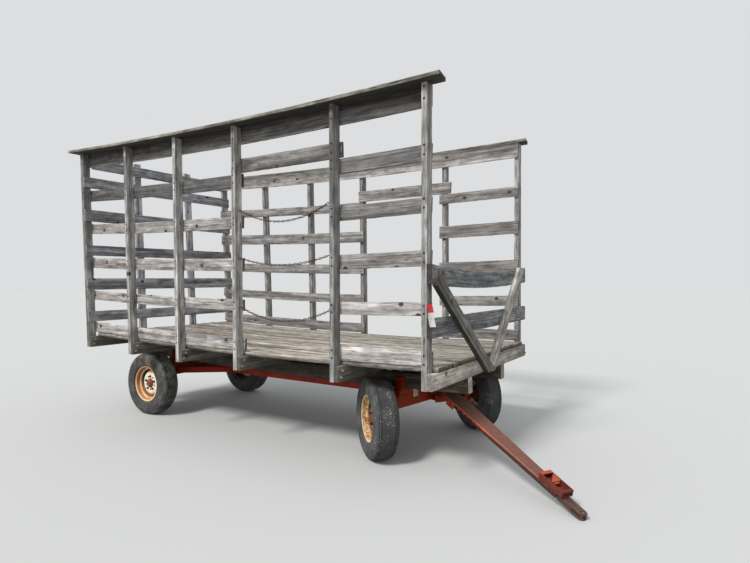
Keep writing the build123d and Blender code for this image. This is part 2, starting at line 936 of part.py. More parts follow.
nodes = {
    "deck_planks": deck_planks(),
    "main_sills": [main_sill(side) for side in (-1, 1)],
    "cross_sills": [cross_sill(x) for x in stations],
    "right_posts": [post(x, -1) for x in stations],
    "left_posts": [post(x, 1) for x in stations],
    "right_boards": [side_board(-1, *row) for row in right_table],
    "left_boards": [side_board(1, *row) for row in left_table],
    "right_toe_boards": [side_board(-1, *row) for row in toe_table],
    "left_toe_boards": [side_board(1, *row) for row in toe_table],
    "right_cap": [cap(-1)],
    "left_cap": [cap(1)],
    "rear_posts": [rear_post(side) for side in (-1, 1)],
    "rear_boards": [rear_board(*row) for row in rear_table],
    "front_boards": [front_board(*row) for row in front_table],
    "front_braces": [front_brace(*row) for row in brace_table],
    "door_chains": [chain(*row) for row in chain_table],
    "chain_eyes": chain_eyes(),
    "sill_block": [sill_block()],
    "front_bolster": [bolster(front_axle_x, skew, front_top)],
    "rear_bolster": [bolster(rear_axle_x, 0, axle_top)],
    "bolster_plate": [bolster_plate()],
    "front_axle": [front_axle()],
    "rear_axle": [rear_axle()],
    "reach": [reach()],
    "front_hounds": [front_hound(side) for side in (-1, 1)],
    "rear_hounds": [rear_hound(side) for side in (-1, 1)],
    "right_knuckle": [knuckle_frame(-1) * knuckle(-1)],
    "left_knuckle": [knuckle_frame(1) * knuckle(1)],
    "right_tie_rod": [tie_rod(-1)],
    "left_tie_rod": [tie_rod(1)],
    "steering_yoke": [steering_yoke()],
    "hinge_pin": [hinge_pin()],
    "tongue_channel": [tongue_channel()],
    "hitch_box": [hitch_box()],
    "hitch_clevis": [hitch_clevis()],
    "hitch_latch": [hitch_latch()],
}
for end in ("front", "rear"):
    for side, name in ((-1, "right"), (1, "left")):
        frame = wheel_frame(end, side)
        nodes[f"{end}_{name}_tyre"] = [frame * tyre()]
        nodes[f"{end}_{name}_rim"] = [frame * rim()]
        nodes[f"{end}_{name}_hub"] = [frame * hub()]

os.makedirs("parts", exist_ok=True)
for name, solids in nodes.items():
    placed = [place * solid for solid in solids]
    shape = placed[0] if len(placed) == 1 else Compound(children=placed)
    export_step(shape, f"parts/{name}.step")
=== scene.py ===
import json
import math
import random

import bmesh
import bpy
import numpy as np
from mathutils import Matrix, Vector, noise


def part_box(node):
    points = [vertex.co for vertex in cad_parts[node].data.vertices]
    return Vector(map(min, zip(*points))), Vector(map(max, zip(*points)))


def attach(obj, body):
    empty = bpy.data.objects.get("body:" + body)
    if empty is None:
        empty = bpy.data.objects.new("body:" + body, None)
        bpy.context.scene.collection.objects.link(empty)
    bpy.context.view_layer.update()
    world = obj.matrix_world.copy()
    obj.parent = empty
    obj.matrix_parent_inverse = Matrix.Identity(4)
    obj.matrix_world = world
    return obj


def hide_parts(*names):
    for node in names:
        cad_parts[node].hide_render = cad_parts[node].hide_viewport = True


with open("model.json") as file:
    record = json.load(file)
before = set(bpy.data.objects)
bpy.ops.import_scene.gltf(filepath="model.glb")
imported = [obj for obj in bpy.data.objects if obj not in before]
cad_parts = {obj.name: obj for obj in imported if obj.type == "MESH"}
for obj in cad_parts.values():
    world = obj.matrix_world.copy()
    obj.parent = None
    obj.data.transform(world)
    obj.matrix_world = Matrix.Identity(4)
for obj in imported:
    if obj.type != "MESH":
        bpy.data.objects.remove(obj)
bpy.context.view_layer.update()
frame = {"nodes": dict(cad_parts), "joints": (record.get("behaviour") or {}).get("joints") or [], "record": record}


# Axles and bolsters: square steel beams with welded plates, pins and sleeves, painted
# orange red at the works. The front pair stands skewed under the bed. The paint has faded
# and rust shows through it, most along the upper faces.

def linear(red, green, blue):
    """A colour given as it looks, 0 to 255, as the shader's own numbers."""
    shades = [c / 255 for c in (red, green, blue)]
    return (*[c / 12.92 if c <= 0.04045 else ((c + 0.055) / 1.055) ** 2.4 for c in shades], 1)


def darker(colour, share):
    """A colour given as it looks, with that share of its light."""
    return (*[share * c for c in linear(*colour)[:3]], 1)


class Wire:
    """One output of a shader's nodes. Arithmetic on it adds the nodes that work it out."""

    def __init__(self, tree, socket):
        self.tree = tree
        self.socket = socket

    def beside(self, name):
        """Another output of the same node."""
        return Wire(self.tree, self.socket.node.outputs[name])

    def parts(self):
        """A vector's three numbers."""
        x = add(self.tree, "SeparateXYZ", [self])
        return x, x.beside(1), x.beside(2)

    def math(self, how, *others):
        return add(self.tree, "Math", [self, *others], operation=how)

    def __add__(self, other):
        return self.math("ADD", other)

    def __mul__(self, other):
        return self.math("MULTIPLY", other)

    def __sub__(self, other):
        return self + other * -1

    def __rsub__(self, other):
        return self * -1 + other

    def vector(self, how, *others):
        """Vector arithmetic. A length comes out as a number."""
        out = 1 if how == "LENGTH" else 0
        return add(self.tree, "VectorMath", [self, *others], out, operation=how)

    def stretched(self, *factors):
        return self.vector("MULTIPLY", factors)

    def cloud(self, scale=1.0, detail=4.0, rough=0.55):
        """Cloudy noise around one half."""
        sockets = {"Vector": self, "Scale": scale, "Detail": detail, "Roughness": rough}
        return add(self.tree, "TexNoise", sockets)

    def streaked(self, lengthwise, across, detail, rough=0.6):
        """Cloudy noise drawn out along the first axis."""
        return self.stretched(lengthwise, across, across).cloud(1.0, detail, rough)

    def band(self, low, high):
        """Rises smoothly from 0 at low to 1 at high, or falls where low is the larger."""
        sockets = {"Value": self, "From Min": low, "From Max": high}
        return add(self.tree, "MapRange", sockets, interpolation_type="SMOOTHSTEP")


def add(tree, kind, inputs=(), out=0, **settings):
    """One shader node, with its settings and what goes into its sockets. Gives an output."""
    node = tree.nodes.new("ShaderNode" + kind)
    for key, value in settings.items():
        setattr(node, key, value)
    for key, value in inputs.items() if isinstance(inputs, dict) else enumerate(inputs):
        if isinstance(value, Wire):
            tree.links.new(value.socket, node.inputs[key])
        else:
            node.inputs[key].default_value = value
    return Wire(tree, node.outputs[out])


def mix(amount, first, second):
    """One colour that turns into another. Three numbers are a colour as it looks."""
    first, second = (linear(*colour) if isinstance(colour, tuple) and len(colour) == 3
                     else colour for colour in (first, second))
    sockets = {0: amount, 6: first, 7: second}
    return add(amount.tree, "Mix", sockets, 2, data_type="RGBA", clamp_factor=True)


def layered(colour, *layers):
    """A colour with others laid over it in turn, each as far as its amount says."""
    for amount, over in layers:
        colour = mix(amount, colour, over)
    return colour


def start_finish(name, roughness, metallic=0.0):
    """A new finish: its material, its node tree and its surface shader."""
    material = bpy.data.materials.new(name)
    material.use_nodes = True
    shader = material.node_tree.nodes["Principled BSDF"]
    shader.inputs["Roughness"].default_value = roughness
    shader.inputs["Metallic"].default_value = metallic
    return material, material.node_tree, shader


def mark(tree, name, out="Vector"):
    """What the mesh keeps of each vertex or face under a name."""
    return add(tree, "Attribute", out=out, attribute_name=name)


def cover(shader, colour, relief, depth, strength):
    """Gives a surface shader its colour and its relief."""
    height = add(colour.tree, "Bump", {"Height": relief, "Distance": depth,
                                       "Strength": strength})
    for wire, socket in ((colour, "Base Color"), (height, "Normal")):
        wire.tree.links.new(wire.socket, shader.inputs[socket])


def stained_metal(name, roughness, metallic, size, detail, limits, clean, stain, depth=0.0005,
                  strength=0.5):
    """Plain metal with cloudy stains."""
    material, tree, shader = start_finish(name, roughness, metallic)
    stained = add(tree, "TexCoord", out="Object").cloud(size, detail).band(*limits)
    cover(shader, mix(stained, clean, stain), stained, depth, strength)
    return material


def painted_steel(name, paint, faded, rust_share, top_rust, rust_dark, rust_pale):
    """Old paint on steel: faded in patches, chipped, and rusted most where rain stands."""
    material, tree, shader = start_finish(name, 0.6)
    shader.inputs["Specular IOR Level"].default_value = 0.2
    spot = add(tree, "TexCoord", out="Object")
    up = spot.beside("Normal").parts()[2]
    broad, fine = spot.cloud(5.0, 5.0, 0.6), spot.cloud(70.0, 4.0, 0.65)
    speck = spot.cloud(420.0, 2.0)
    wear = broad * 0.6 + fine * 0.4 + up.band(0.3, 0.95) * top_rust
    rusted = wear.band(0.62 - rust_share, 0.66 - rust_share)
    rust = layered(rust_dark, (fine.band(0.35, 0.65), rust_pale),
                   (speck.band(0.55, 0.7), (66, 42, 34)))
    coat = layered(paint, (broad.band(0.4, 0.65), faded), (speck.band(0.6, 0.72), rust_dark))
    rough = add(tree, "MapRange", {"Value": rusted, "To Min": 0.5, "To Max": 0.92})
    tree.links.new(rough.socket, shader.inputs["Roughness"])
    cover(shader, mix(rusted, coat, rust), speck * 0.4 - rusted, 0.0012, 0.6)
    return material


def rounded(bm, geom, offset, segments=2, affect="EDGES", clamp=True):
    """Rounds a mesh's edges, or the corners of an outline."""
    bmesh.ops.bevel(bm, geom=geom, offset=offset, segments=segments, profile=0.5,
                    affect=affect, clamp_overlap=clamp, material=-1)


def node_mesh(node):
    """A copy of a CAD node's solids, with one vertex at each corner."""
    bm = bmesh.new()
    bm.from_mesh(frame["nodes"][node].data)
    bmesh.ops.remove_doubles(bm, verts=bm.verts, dist=1e-5)
    return bm


def softened(node, edge):
    """The same with its sharp edges rounded, as rolled steel has them."""
    bm = node_mesh(node)
    bmesh.ops.dissolve_limit(bm, angle_limit=math.radians(1), verts=bm.verts, edges=bm.edges)
    rounded(bm, [e for e in bm.edges if len(e.link_faces) == 2 and e.calc_face_angle() > 0.7],
            edge)
    return bm


def kept_mesh(name, bm):
    """Turns a working mesh into one that lasts."""
    mesh = bpy.data.meshes.new(name)
    bm.to_mesh(mesh)
    bm.free()
    return mesh


def in_scene(name, data):
    """A new object of a mesh, a lamp or a camera."""
    thing = bpy.data.objects.new(name, data)
    bpy.context.scene.collection.objects.link(thing)
    return thing


def piece(name, bm, finish, nodes=(), body="wagon", smooth=40):
    """Makes the finished object of a mesh: its shading, finish and body."""
    for face in bm.faces:
        face.smooth = True
        face.material_index = 0
    for edge in bm.edges:
        closed = len(edge.link_faces) == 2
        edge.smooth = closed and edge.calc_face_angle() < math.radians(smooth)
    mesh = kept_mesh(name, bm)
    if "custom_normal" in mesh.attributes:
        mesh.attributes.remove(mesh.attributes["custom_normal"])
    mesh.materials.clear()
    mesh.materials.append(finish)
    thing = in_scene(name, mesh)
    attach(thing, body)
    if nodes:
        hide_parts(*nodes)


def steel_piece(node, edge, finish, body="wagon"):
    """The finished piece of a CAD node of rolled, forged or plate steel."""
    piece(node + "_steel", softened(node, edge), finish, [node], body)


def join_on(total, one):
    """Adds a finished mesh to the piece that it belongs to."""
    mesh = kept_mesh("part", one)
    total.from_mesh(mesh)
    bpy.data.meshes.remove(mesh)


def facing(point, direction):
    """A place at a point whose own Z looks along a direction."""
    turn = Vector(direction).to_track_quat("Z", "Y").to_matrix().to_4x4()
    return Matrix.Translation(point) @ turn


def standing(origin, along, across, up):
    """A place with its own three axes."""
    return Matrix.Translation(origin) @ Matrix((along, across, up)).transposed().to_4x4()


def own_marks(bm, place, name):
    """Keeps where each vertex is, in the piece's own place, as an attribute."""
    layer = bm.verts.layers.float_vector.new(name)
    back = place.inverted()
    for vert in bm.verts:
        vert[layer] = back @ vert.co


def weld(bm, start, end, size):
    """A weld bead: a row of overlapping drops."""
    count = max(2, round((end - start).length / (size * 0.9)))
    for i in range(count + 1):
        bmesh.ops.create_icosphere(bm, subdivisions=1, radius=size * 0.6,
                                   matrix=Matrix.Translation(start.lerp(end, i / count)))


def rod(bm, place, sides, radius, length, taper=1.0):
    """A rod or a disc, its middle at a place and its length along the place's Z."""
    bmesh.ops.create_cone(bm, cap_ends=True, segments=sides, radius1=radius,
                          radius2=radius * taper, depth=length, matrix=place)


def hex_bolt(bm, place, size, sides=6):
    """A washer, a nut and the bolt's end, standing up along the place's own Z."""
    washer = 0.003
    for radius, low, high, count in ((size * 1.5, 0, washer, 16),
                                     (size, washer, washer + size, sides),
                                     (size * 0.5, 0, washer + size * 1.4, 10)):
        middle = place @ Matrix.Translation((0, 0, (low + high) / 2))
        rod(bm, middle, count, radius, high - low, 0.95)


rust_dark = (98, 58, 44)
rust_pale = (142, 92, 72)
orange_paint = painted_steel("orange_paint", (158, 46, 2), (150, 56, 12), -0.01, 0.1,
                             rust_dark, rust_pale)
# The rear pair gets a darker copy of the paint, as painted shade for the bed's shadow.
orange_paint_in_shade = painted_steel("orange_paint_painted_shade", (120, 36, 10), (114, 46, 20), 0.0, 0.1,
                           rust_dark, rust_pale)
for end, finish in (("rear", orange_paint_in_shade), ("front", orange_paint)):
    for node in (end + "_axle", end + "_bolster"):
        steel_piece(node, 0.004, finish)

# Weld beads where each bolster meets its axle and where its stakes stand on it.
record_joints = {joint["name"]: joint for joint in frame["joints"]}
kingpins = [Vector(record_joints[side + "_wheel_steer"]["pos_m"]) for side in ("left", "right")]
upward = Vector((0, 0, 1))
front_across = (kingpins[0] - kingpins[1]).normalized()
front_middle = (kingpins[0] + kingpins[1]) / 2
front_middle.z = 0
on_front_axle = standing(front_middle, front_across.cross(upward), front_across, upward)
rear_low, rear_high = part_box("rear_axle")
rear_middle = Vector(((rear_low.x + rear_high.x) / 2, 0, 0))
on_rear_axle = standing(rear_middle, Vector((1, 0, 0)), Vector((0, 1, 0)), upward)
beam_half = 0.045
bead_starts = (-0.56, -0.40, -0.12, 0.10, 0.30, 0.48)
bead_long, bead_wide = 0.09, 0.007
welds = bmesh.new()
for place, joint_z in ((on_front_axle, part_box("front_bolster")[0].z),
                       (on_rear_axle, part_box("rear_bolster")[0].z)):
    for face in (-1, 1):
        for start in bead_starts:
            weld(welds, *[place @ Vector((face * beam_half, y, joint_z))
                          for y in (start, start + bead_long)], bead_wide)
piece("bolster_welds", welds, orange_paint)

# The small blank plate on the front axle is bare galvanised steel, now dull, on two rivets.
plate_finish = stained_metal("dull_plate", 0.6, 0.2, 60.0, 4.0, (0.45, 0.7), (206, 202, 184),
                             (158, 146, 124), 0.0006, 0.4)
plate = softened("bolster_plate", 0.0015)
plate_low, plate_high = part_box("bolster_plate")
plate_middle = on_front_axle.inverted() @ ((plate_low + plate_high) / 2)
plate_front = max((on_front_axle.inverted() @ v.co).x for v in plate.verts)
rivet_out = 0.029
for up in (-rivet_out, rivet_out):
    rivet = on_front_axle @ Vector((plate_front, plate_middle.y, plate_middle.z + up))
    bmesh.ops.create_icosphere(plate, subdivisions=2, radius=0.003,
                               matrix=Matrix.Translation(rivet))
piece("blank_plate", plate, plate_finish, ["bolster_plate"])


# Reach pole and hounds: rectangular tube and flat braces in a darker red paint, welded
# between the axles. They lie in the bed's shade, so less of their paint has faded.
red_paint = painted_steel("dark_red_paint", (168, 44, 28), (180, 66, 42), -0.02, 0.12,
                          (84, 48, 38), (124, 76, 60))
for node in ("reach", "rear_hounds", "front_hounds"):
    steel_piece(node, 0.004, red_paint)


# Knuckles, tie rods and yoke: forged and plate steel. The knuckles and the yoke have the
# axles' paint, and the rods and the hinge pin were never painted.
rusty_steel = painted_steel("bare_rusted_steel", rust_pale, rust_dark, 0.2, 0.0,
                            (84, 54, 44), (130, 86, 68))
for side in ("right", "left"):
    knuckle, tie_rod = side + "_knuckle", side + "_tie_rod"
    steel_piece(knuckle, 0.003, orange_paint, knuckle)
    steel_piece(tie_rod, 0.002, rusty_steel, tie_rod)
steel_piece("steering_yoke", 0.002, orange_paint, "steering_yoke")
steel_piece("hinge_pin", 0.0015, rusty_steel, "steering_yoke")


# Wheels: each turns on its spindle. The tyres are black implement rubber, gone grey and
# dusty. The front pair is worn smooth between two outer grooves, and the rear pair still
# has its ribs, with zigzag grooves between them.

def ring(profile, steps, rounding, rounds=2):
    """A closed outline of radius and distance along the axle, rounded and spun about Y."""
    bm = bmesh.new()
    verts = [bm.verts.new((0, y, r)) for r, y in profile]
    for i, vert in enumerate(verts):
        bm.edges.new((verts[i - 1], vert))
    rounded(bm, bm.verts[:], rounding, rounds, "VERTICES")
    bmesh.ops.spin(bm, geom=bm.verts[:] + bm.edges[:], cent=(0, 0, 0), axis=(0, 1, 0),
                   angle=math.tau, steps=steps, use_merge=True)
    bmesh.ops.remove_doubles(bm, verts=bm.verts, dist=1e-6)
    bmesh.ops.recalc_face_normals(bm, faces=bm.faces)
    return bm


def mirrored(half):
    """An outline from one side to the middle and on to the other side."""
    return [*half, *[(r, -y) for r, y in reversed(half)]]


def wheel_piece(wheel, made, node, bm, finish, smooth=40):
    """Stands what was made about the origin on its wheel's spindle, with Y outward."""
    joint = record_joints[wheel + "_wheel_spin"]
    outward = Vector(joint["axis"]) * (1 if wheel.endswith("left") else -1)
    place = standing(joint["pos_m"], outward.cross(upward), outward, upward)
    bm.transform(place)
    own_marks(bm, place, "wheel_marks")
    piece(f"{wheel}_{made}", bm, finish, [f"{wheel}_{node}"], wheel + "_wheel", smooth)


tyre_low, tyre_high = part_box("rear_right_tyre")
tyre_r = (tyre_high.z - tyre_low.z) / 2
tyre_half = (tyre_high.y - tyre_low.y) / 2
# Columns: how far below the tread's top, how far in from the tyre's widest, bead last.
tyre_wall = ((0.045, 0.006), (0.068, 0.0015), (0.071, 0.0003), (0.078, 0.0003),
             (0.081, 0.0018), (0.095, 0.0006), (0.128, 0.004), (0.142, 0.010),
             (0.147, 0.0088), (0.151, 0.012), (0.156, 0.020), (0.1595, 0.0332),
             (0.1815, 0.0355))
plain_shoulder = ((0.0, 0.047), (0.003, 0.0385), (0.009, 0.0365), (0.0095, 0.033),
                  (0.006, 0.031), (0.016, 0.0205))
lugged_shoulder = ((0.0, 0.047), (0.004, 0.037), (0.009, 0.0325), (0.0115, 0.0235),
                   (0.016, 0.0205))
rib_steps = 96
rib_sway = 0.0032
groove_half, groove_floor_half = 0.0045, 0.0025


def tyre_outline(shoulder, grooves, deep):
    """The tyre from bead to bead, with the grooves in its tread."""
    half = [(tyre_r - below, tyre_half - inward)
            for below, inward in reversed(shoulder + tyre_wall)]
    for middle in grooves:
        half += [(tyre_r, middle + groove_half), (tyre_r - deep, middle + groove_floor_half),
                 (tyre_r - deep, middle - groove_floor_half), (tyre_r, middle - groove_half)]
    return mirrored(half[:-2] if grooves[-1] == 0 else half)


def swayed(tyre):
    """Moves the ribs' edges from side to side, so that the grooves run in a zigzag."""
    for vert in tyre.verts:
        radius = math.hypot(vert.co.x, vert.co.z)
        if radius > tyre_r - 0.0135 and abs(vert.co.y) < 0.068:
            step = round(math.atan2(vert.co.x, vert.co.z) / math.tau * rib_steps)
            vert.co.y += rib_sway if step % 2 else -rib_sway
    return tyre


def on_wheel(tree):
    """Where a point is on its own wheel, and how far from the axle."""
    marks = mark(tree, "wheel_marks")
    return marks, marks.stretched(1, 0, 1).vector("LENGTH")


def tyre_finish(name, wall, tread, groove, dusty):
    """Rubber: a paler dusty wall, a darker tread, cracks, and small pale flecks in groups."""
    material, tree, shader = start_finish(name, 0.84)
    spot, radius = on_wheel(tree)
    _, out, up = spot.parts()
    dust, crack = spot.cloud(9.0, 5.0, 0.62), spot.cloud(240.0, 4.0, 0.7)
    # Painted shade: the floors of the tread's grooves are made nearly black.
    sunk = out.math("ABSOLUTE").band(0.078, 0.074) * radius.band(tyre_r - 0.002, tyre_r - 0.005)
    dusted = up.band(0.12, 0.30) * dusty * dust.band(0.42, 0.6)
    fleck = spot.cloud(95.0, 3.0, 0.7).band(0.585, 0.62) * spot.cloud(7.5, 3.0).band(0.50, 0.62)
    rubber = layered(wall, (radius.band(tyre_r - 0.030, tyre_r - 0.012), tread),
                     (dust.band(0.56, 0.34), groove), (sunk, (34, 34, 35)),
                     (crack.band(0.56, 0.7), groove), (dusted, (128, 116, 100)),
                     (fleck, (186, 184, 176)))
    cover(shader, rubber, dust * 0.6 + crack, 0.0008, 0.5)
    return material


front_rubber = tyre_finish("worn_smooth_rubber", (84, 84, 84), (74, 74, 75),
                           (64, 64, 65), 0.15)
rear_rubber = tyre_finish("ribbed_rubber", (76, 75, 74), (112, 110, 106),
                          (60, 59, 58), 0.6)
wheel_names = [f"{end}_{side}" for end in ("front", "rear") for side in ("right", "left")]
for name in wheel_names:
    if name.startswith("front"):
        tyre = ring(tyre_outline(plain_shoulder, (0.066,), 0.006), 72, 0.0014, 1)
        finish = front_rubber
    else:
        outline = tyre_outline(lugged_shoulder, (0.054, 0.027, 0), 0.0115)
        tyre = swayed(ring(outline, rib_steps, 0.0012, 1))
        finish = rear_rubber
    wheel_piece(name, "moulded_tyre", "tyre", tyre, finish, 32)

# The rims are rolled from steel sheet, with a pressed disc welded inside the drop centre.
# The cream paint stays on the lip and the disc, and the barrel is stained a rusty brown.
# Columns: radius, how far out along the spindle. The rim's two halves are then mirrored.
rim_inside = ((0.223, 0.094), (0.216, 0.094), (0.207, 0.0925), (0.199, 0.086), (0.199, 0.055),
              (0.174, 0.037))
rim_outside = ((0.223, -0.091), (0.218, -0.088), (0.205, -0.084), (0.203, -0.078),
               (0.203, -0.052), (0.178, -0.034))
disc_outline = ((0.175, -0.016), (0.175, -0.006), (0.164, 0.003), (0.150, 0.016),
                (0.134, 0.0265), (0.118, 0.030), (0.057, 0.030), (0.057, 0.026), (0.118, 0.026),
                (0.132, 0.0225), (0.147, 0.012), (0.160, -0.001))
disc_face = 0.030
bolt_circle_r = 0.083
bolt_hole_r = 0.0130
bolt_count = 10


def punched(bm, holes):
    """A mesh with the holes' shapes cut out of it."""
    sheet, punches = [in_scene("work", kept_mesh("work", shape)) for shape in (bm, holes)]
    cut = sheet.modifiers.new("cut", "BOOLEAN")
    cut.operation = "DIFFERENCE"
    cut.object = punches
    graph = bpy.context.evaluated_depsgraph_get()
    result = bpy.data.meshes.new_from_object(sheet.evaluated_get(graph))
    for thing in (sheet, punches):
        bpy.data.objects.remove(thing)
    return result


bolt_turns = [Matrix.Rotation(math.tau * i / bolt_count, 4, "Y") for i in range(bolt_count)]
bolt_holes = bmesh.new()
for turn in bolt_turns:
    rod(bolt_holes, turn @ facing((0, disc_face - 0.002, bolt_circle_r), (0, 1, 0)), 14,
        bolt_hole_r, 0.03)
drilled_disc = punched(ring(disc_outline, 80, 0.001, 1), bolt_holes)


def rim_finish(name, paint, ridge_paint, stain_and_shade_high, stain_and_shade_low, rust_share, low_rust):
    """Cream paint, whole on the lip and the ridge, with a stained barrel and rust specks.
    Painted light and shade make the barrel and the lip darker at the top and paler low down,
    darken a ring in the well, and darken the inner half, together with its dirt.
    """
    material, tree, shader = start_finish(name, 0.6)
    marks, radius = on_wheel(tree)
    _, out, up = marks.parts()
    spot = add(tree, "TexCoord", out="Object")
    broad, fine = spot.cloud(10.0, 5.0, 0.6), spot.cloud(64.0, 5.0, 0.68)
    speck = spot.cloud(210.0, 3.0, 0.6)
    lip = radius.band(0.203, 0.207)
    # Painted light and shade: this mask is 1 low on the wheel, where the barrel and the lip are lit, and 0 at the
    # top, in shade.
    lit_below = (up - broad * 0.10).band(0.04, -0.14)
    coat = layered(paint, (broad.band(0.50, 0.72), ridge_paint),
                   (lip, mix(lit_below, stain_and_shade_low, ridge_paint)))
    # The barrel's rusty stain, with painted shade at the top and painted light low down.
    stain = layered(stain_and_shade_high, (lit_below, stain_and_shade_low), (fine.band(0.48, 0.62), stain_and_shade_high))
    ridge = radius.band(0.176, 0.180) * radius.band(0.194, 0.189)
    slope = radius.band(0.112, 0.140) * up.band(0.0, -0.10)
    wear = broad * 0.35 + fine * 0.65 + slope * low_rust
    rusted = wear.band(0.62 - rust_share, 0.66 - rust_share) * (1 - lip * 0.9)
    rust = mix(speck.band(0.4, 0.62), (190, 124, 68), (112, 68, 40))
    # Painted shade: a dark ring in the drop centre's well, lighter low down.
    deep = radius.band(0.154, 0.160) * radius.band(0.179, 0.173) * (0.9 - lit_below * 0.55)
    # The inner half of each rim is darkened for its dirt and as painted shade.
    colour = layered(coat, (radius.band(0.158, 0.164) * (1 - lip), stain),
                     (ridge * 0.85, ridge_paint), (rusted, rust),
                     (speck.band(0.66, 0.70) * 0.8, (120, 74, 44)), (deep, (60, 38, 24)),
                     (out.band(0.0, -0.02), (44, 34, 27)))
    cover(shader, colour, 1 - rusted, 0.0008, 0.6)
    return material


cream_rims = {
    "rear": rim_finish("stained_cream_paint", (252, 246, 224), (250, 218, 162),
                       (160, 104, 66), (206, 152, 102), 0.0, 0.1),
    "front": rim_finish("cream_paint", (250, 236, 196), (248, 222, 170),
                        (232, 198, 144), (244, 210, 158), 0.12, 0.02),
}
valve_stem = facing((0, 0.075, 0.191), (0, 0.5, -1))
for name in wheel_names:
    rim = ring(mirrored(rim_inside) + mirrored(rim_outside), 72, 0.001)
    rim.from_mesh(drilled_disc)
    rod(rim, valve_stem, 10, 0.004, 0.032, 0.875)
    wheel_piece(name, "rolled_rim", "rim", rim, cream_rims[name.split("_")[0]])

# The hubs are cast, with a flange behind the disc, five nuts in front of it and a pressed
# dust cap. They were painted red once and are now mostly rust. Out past the barrel, on the
# flange and the nuts, they are nearly black: painted shade, so that the holes read dark.
hub_finish, tree, shader = start_finish("hub_rust_red_and_shade", 0.8)
fine = add(tree, "TexCoord", out="Object").cloud(60.0, 5.0, 0.65)
# Painted shade: nearly black out past the barrel, on the flange and the nuts.
red = layered((162, 86, 60), (fine.band(0.4, 0.62), (118, 58, 40)),
              (on_wheel(tree)[1].band(0.058, 0.064), (26, 18, 15)))
cover(shader, red, fine, 0.001, 0.7)
hub_barrel = ((0.0282, -0.052), (0.045, -0.052), (0.055, -0.042), (0.055, 0.012), (0.103, 0.012),
              (0.103, 0.0255), (0.0545, 0.0255), (0.0545, 0.040), (0.049, 0.046), (0.0282, 0.046))
dust_cap = ((0.030, 0.045), (0.045, 0.045), (0.045, 0.051), (0.040, 0.053), (0.037, 0.0605),
            (0.029, 0.0645), (0.011, 0.0655), (0.011, 0.0640), (0.027, 0.0625), (0.032, 0.058))
nut_out = disc_face + 0.007
for name in wheel_names:
    hub = ring(hub_barrel, 48, 0.0015)
    join_on(hub, ring(dust_cap, 40, 0.001))
    rod(hub, facing((0, 0.0648, 0), (0, 1, 0)), 24, 0.0115, 0.0016)
    for turn in bolt_turns[::2]:
        for radius, out, sides, depth in ((0.0145, nut_out, 6, 0.014),
                                          (0.0065, nut_out + 0.008, 12, 0.018)):
            rod(hub, turn @ facing((0, out, bolt_circle_r), (0, 1, 0)), sides, radius, depth,
                0.94)
    wheel_piece(name, "cast_hub", "hub", hub, hub_finish)


# Tongue: a tapered channel of folded plate, hinged in the yoke. Its top has worn down to
# mottled rust. Orange paint is left along its upper edges, where it peels, and on the two
# plates at its root.
hinge = Vector(record_joints["tongue_lift"]["pos_m"])
tongue_across = -Vector(record_joints["tongue_lift"]["axis"])
record_mounts = {mount["name"]: mount for mount in frame["record"]["mounts"]}
tongue_up = Vector(record_mounts["hitch_pin_hole"]["axis"])
on_tongue = standing(hinge, tongue_across.cross(tongue_up), tongue_across, tongue_up)
tongue_top = 0.036
shoulder, shoulder_half = 0.137, 0.092
taper = 0.02794
# From here to the tip the tongue's paint has faded away.
tongue_fade = 1.15

tongue_finish, tree, shader = start_finish("worn_tongue_paint", 0.8)
marks = mark(tree, "tongue_marks")
along, over, up = marks.parts()
half_wide = (shoulder_half + taper * shoulder) - along * taper
from_right, from_left = over + half_wide, half_wide - over
below_top = tongue_top - up
fine, grit = marks.cloud(85.0, 5.0, 0.7), marks.cloud(260.0, 3.0, 0.7)
mottle, broad = marks.cloud(24.0, 5.0, 0.65), marks.cloud(3.2, 3.0)
top_rust = layered((104, 70, 60), (mottle.band(0.34, 0.66), (126, 84, 70)),
                   (grit.band(0.52, 0.64), (150, 102, 82)),
                   (along.band(0.62, 0.14), (96, 68, 50)))
# The sides are darker than the top: rust, and painted shade on faces turned from the light.
side_rust_and_shade = mix(fine.band(0.4, 0.62), (62, 34, 30), (92, 52, 44))
steel_colour = mix(below_top.band(0.0005, 0.002), top_rust, side_rust_and_shade)
root = along.band(0.268, 0.252) * mottle.band(0.60, 0.52) * below_top.band(0.0004, 0.003)
on_top = below_top.band(0.0035, 0.0015)
nearer = along.band(tongue_fade, 0.45)
top_width = fine * 0.010 + nearer * 0.003 - 0.002
edge_line = (from_right - top_width).band(0.002, -0.001) * on_top
dripped = mottle.band(0.50, 0.58) * nearer * 0.016
side_width = nearer * 0.004 + fine * 0.008 + dripped
side_line = (below_top - side_width).band(0.0015, -0.0015) * from_right.band(0.012, 0.008)
unbroken = broad.band(0.30, 0.36).math("MAXIMUM", along.band(0.44, 0.40))
near_line = edge_line.math("MAXIMUM", side_line) * unbroken
far_line = from_left.band(0.006, 0.003) * on_top * 0.4
painted = root.math("MAXIMUM", near_line).math("MAXIMUM", far_line)
coat = mix(broad.band(0.4, 0.6), (244, 96, 54), (216, 96, 62))
coat = mix(nearer, (176, 104, 80), coat)
cover(shader, mix(painted, steel_colour, coat), painted * 0.8 + fine * 0.5, 0.0016, 0.8)

root_bolts = (0.165, 0.228)
channel = softened("tongue_channel", 0.004)
for side in (-1, 1):
    for along in root_bolts:
        out = shoulder_half + 0.008 - taper * (along - shoulder)
        spot = on_tongue @ Vector((along, side * out, 0.006))
        hex_bolt(channel, facing(spot, tongue_across * side), 0.010)
own_marks(channel, on_tongue, "tongue_marks")
piece("tongue_folded_channel", channel, tongue_finish, ["tongue_channel"],
      "tongue")

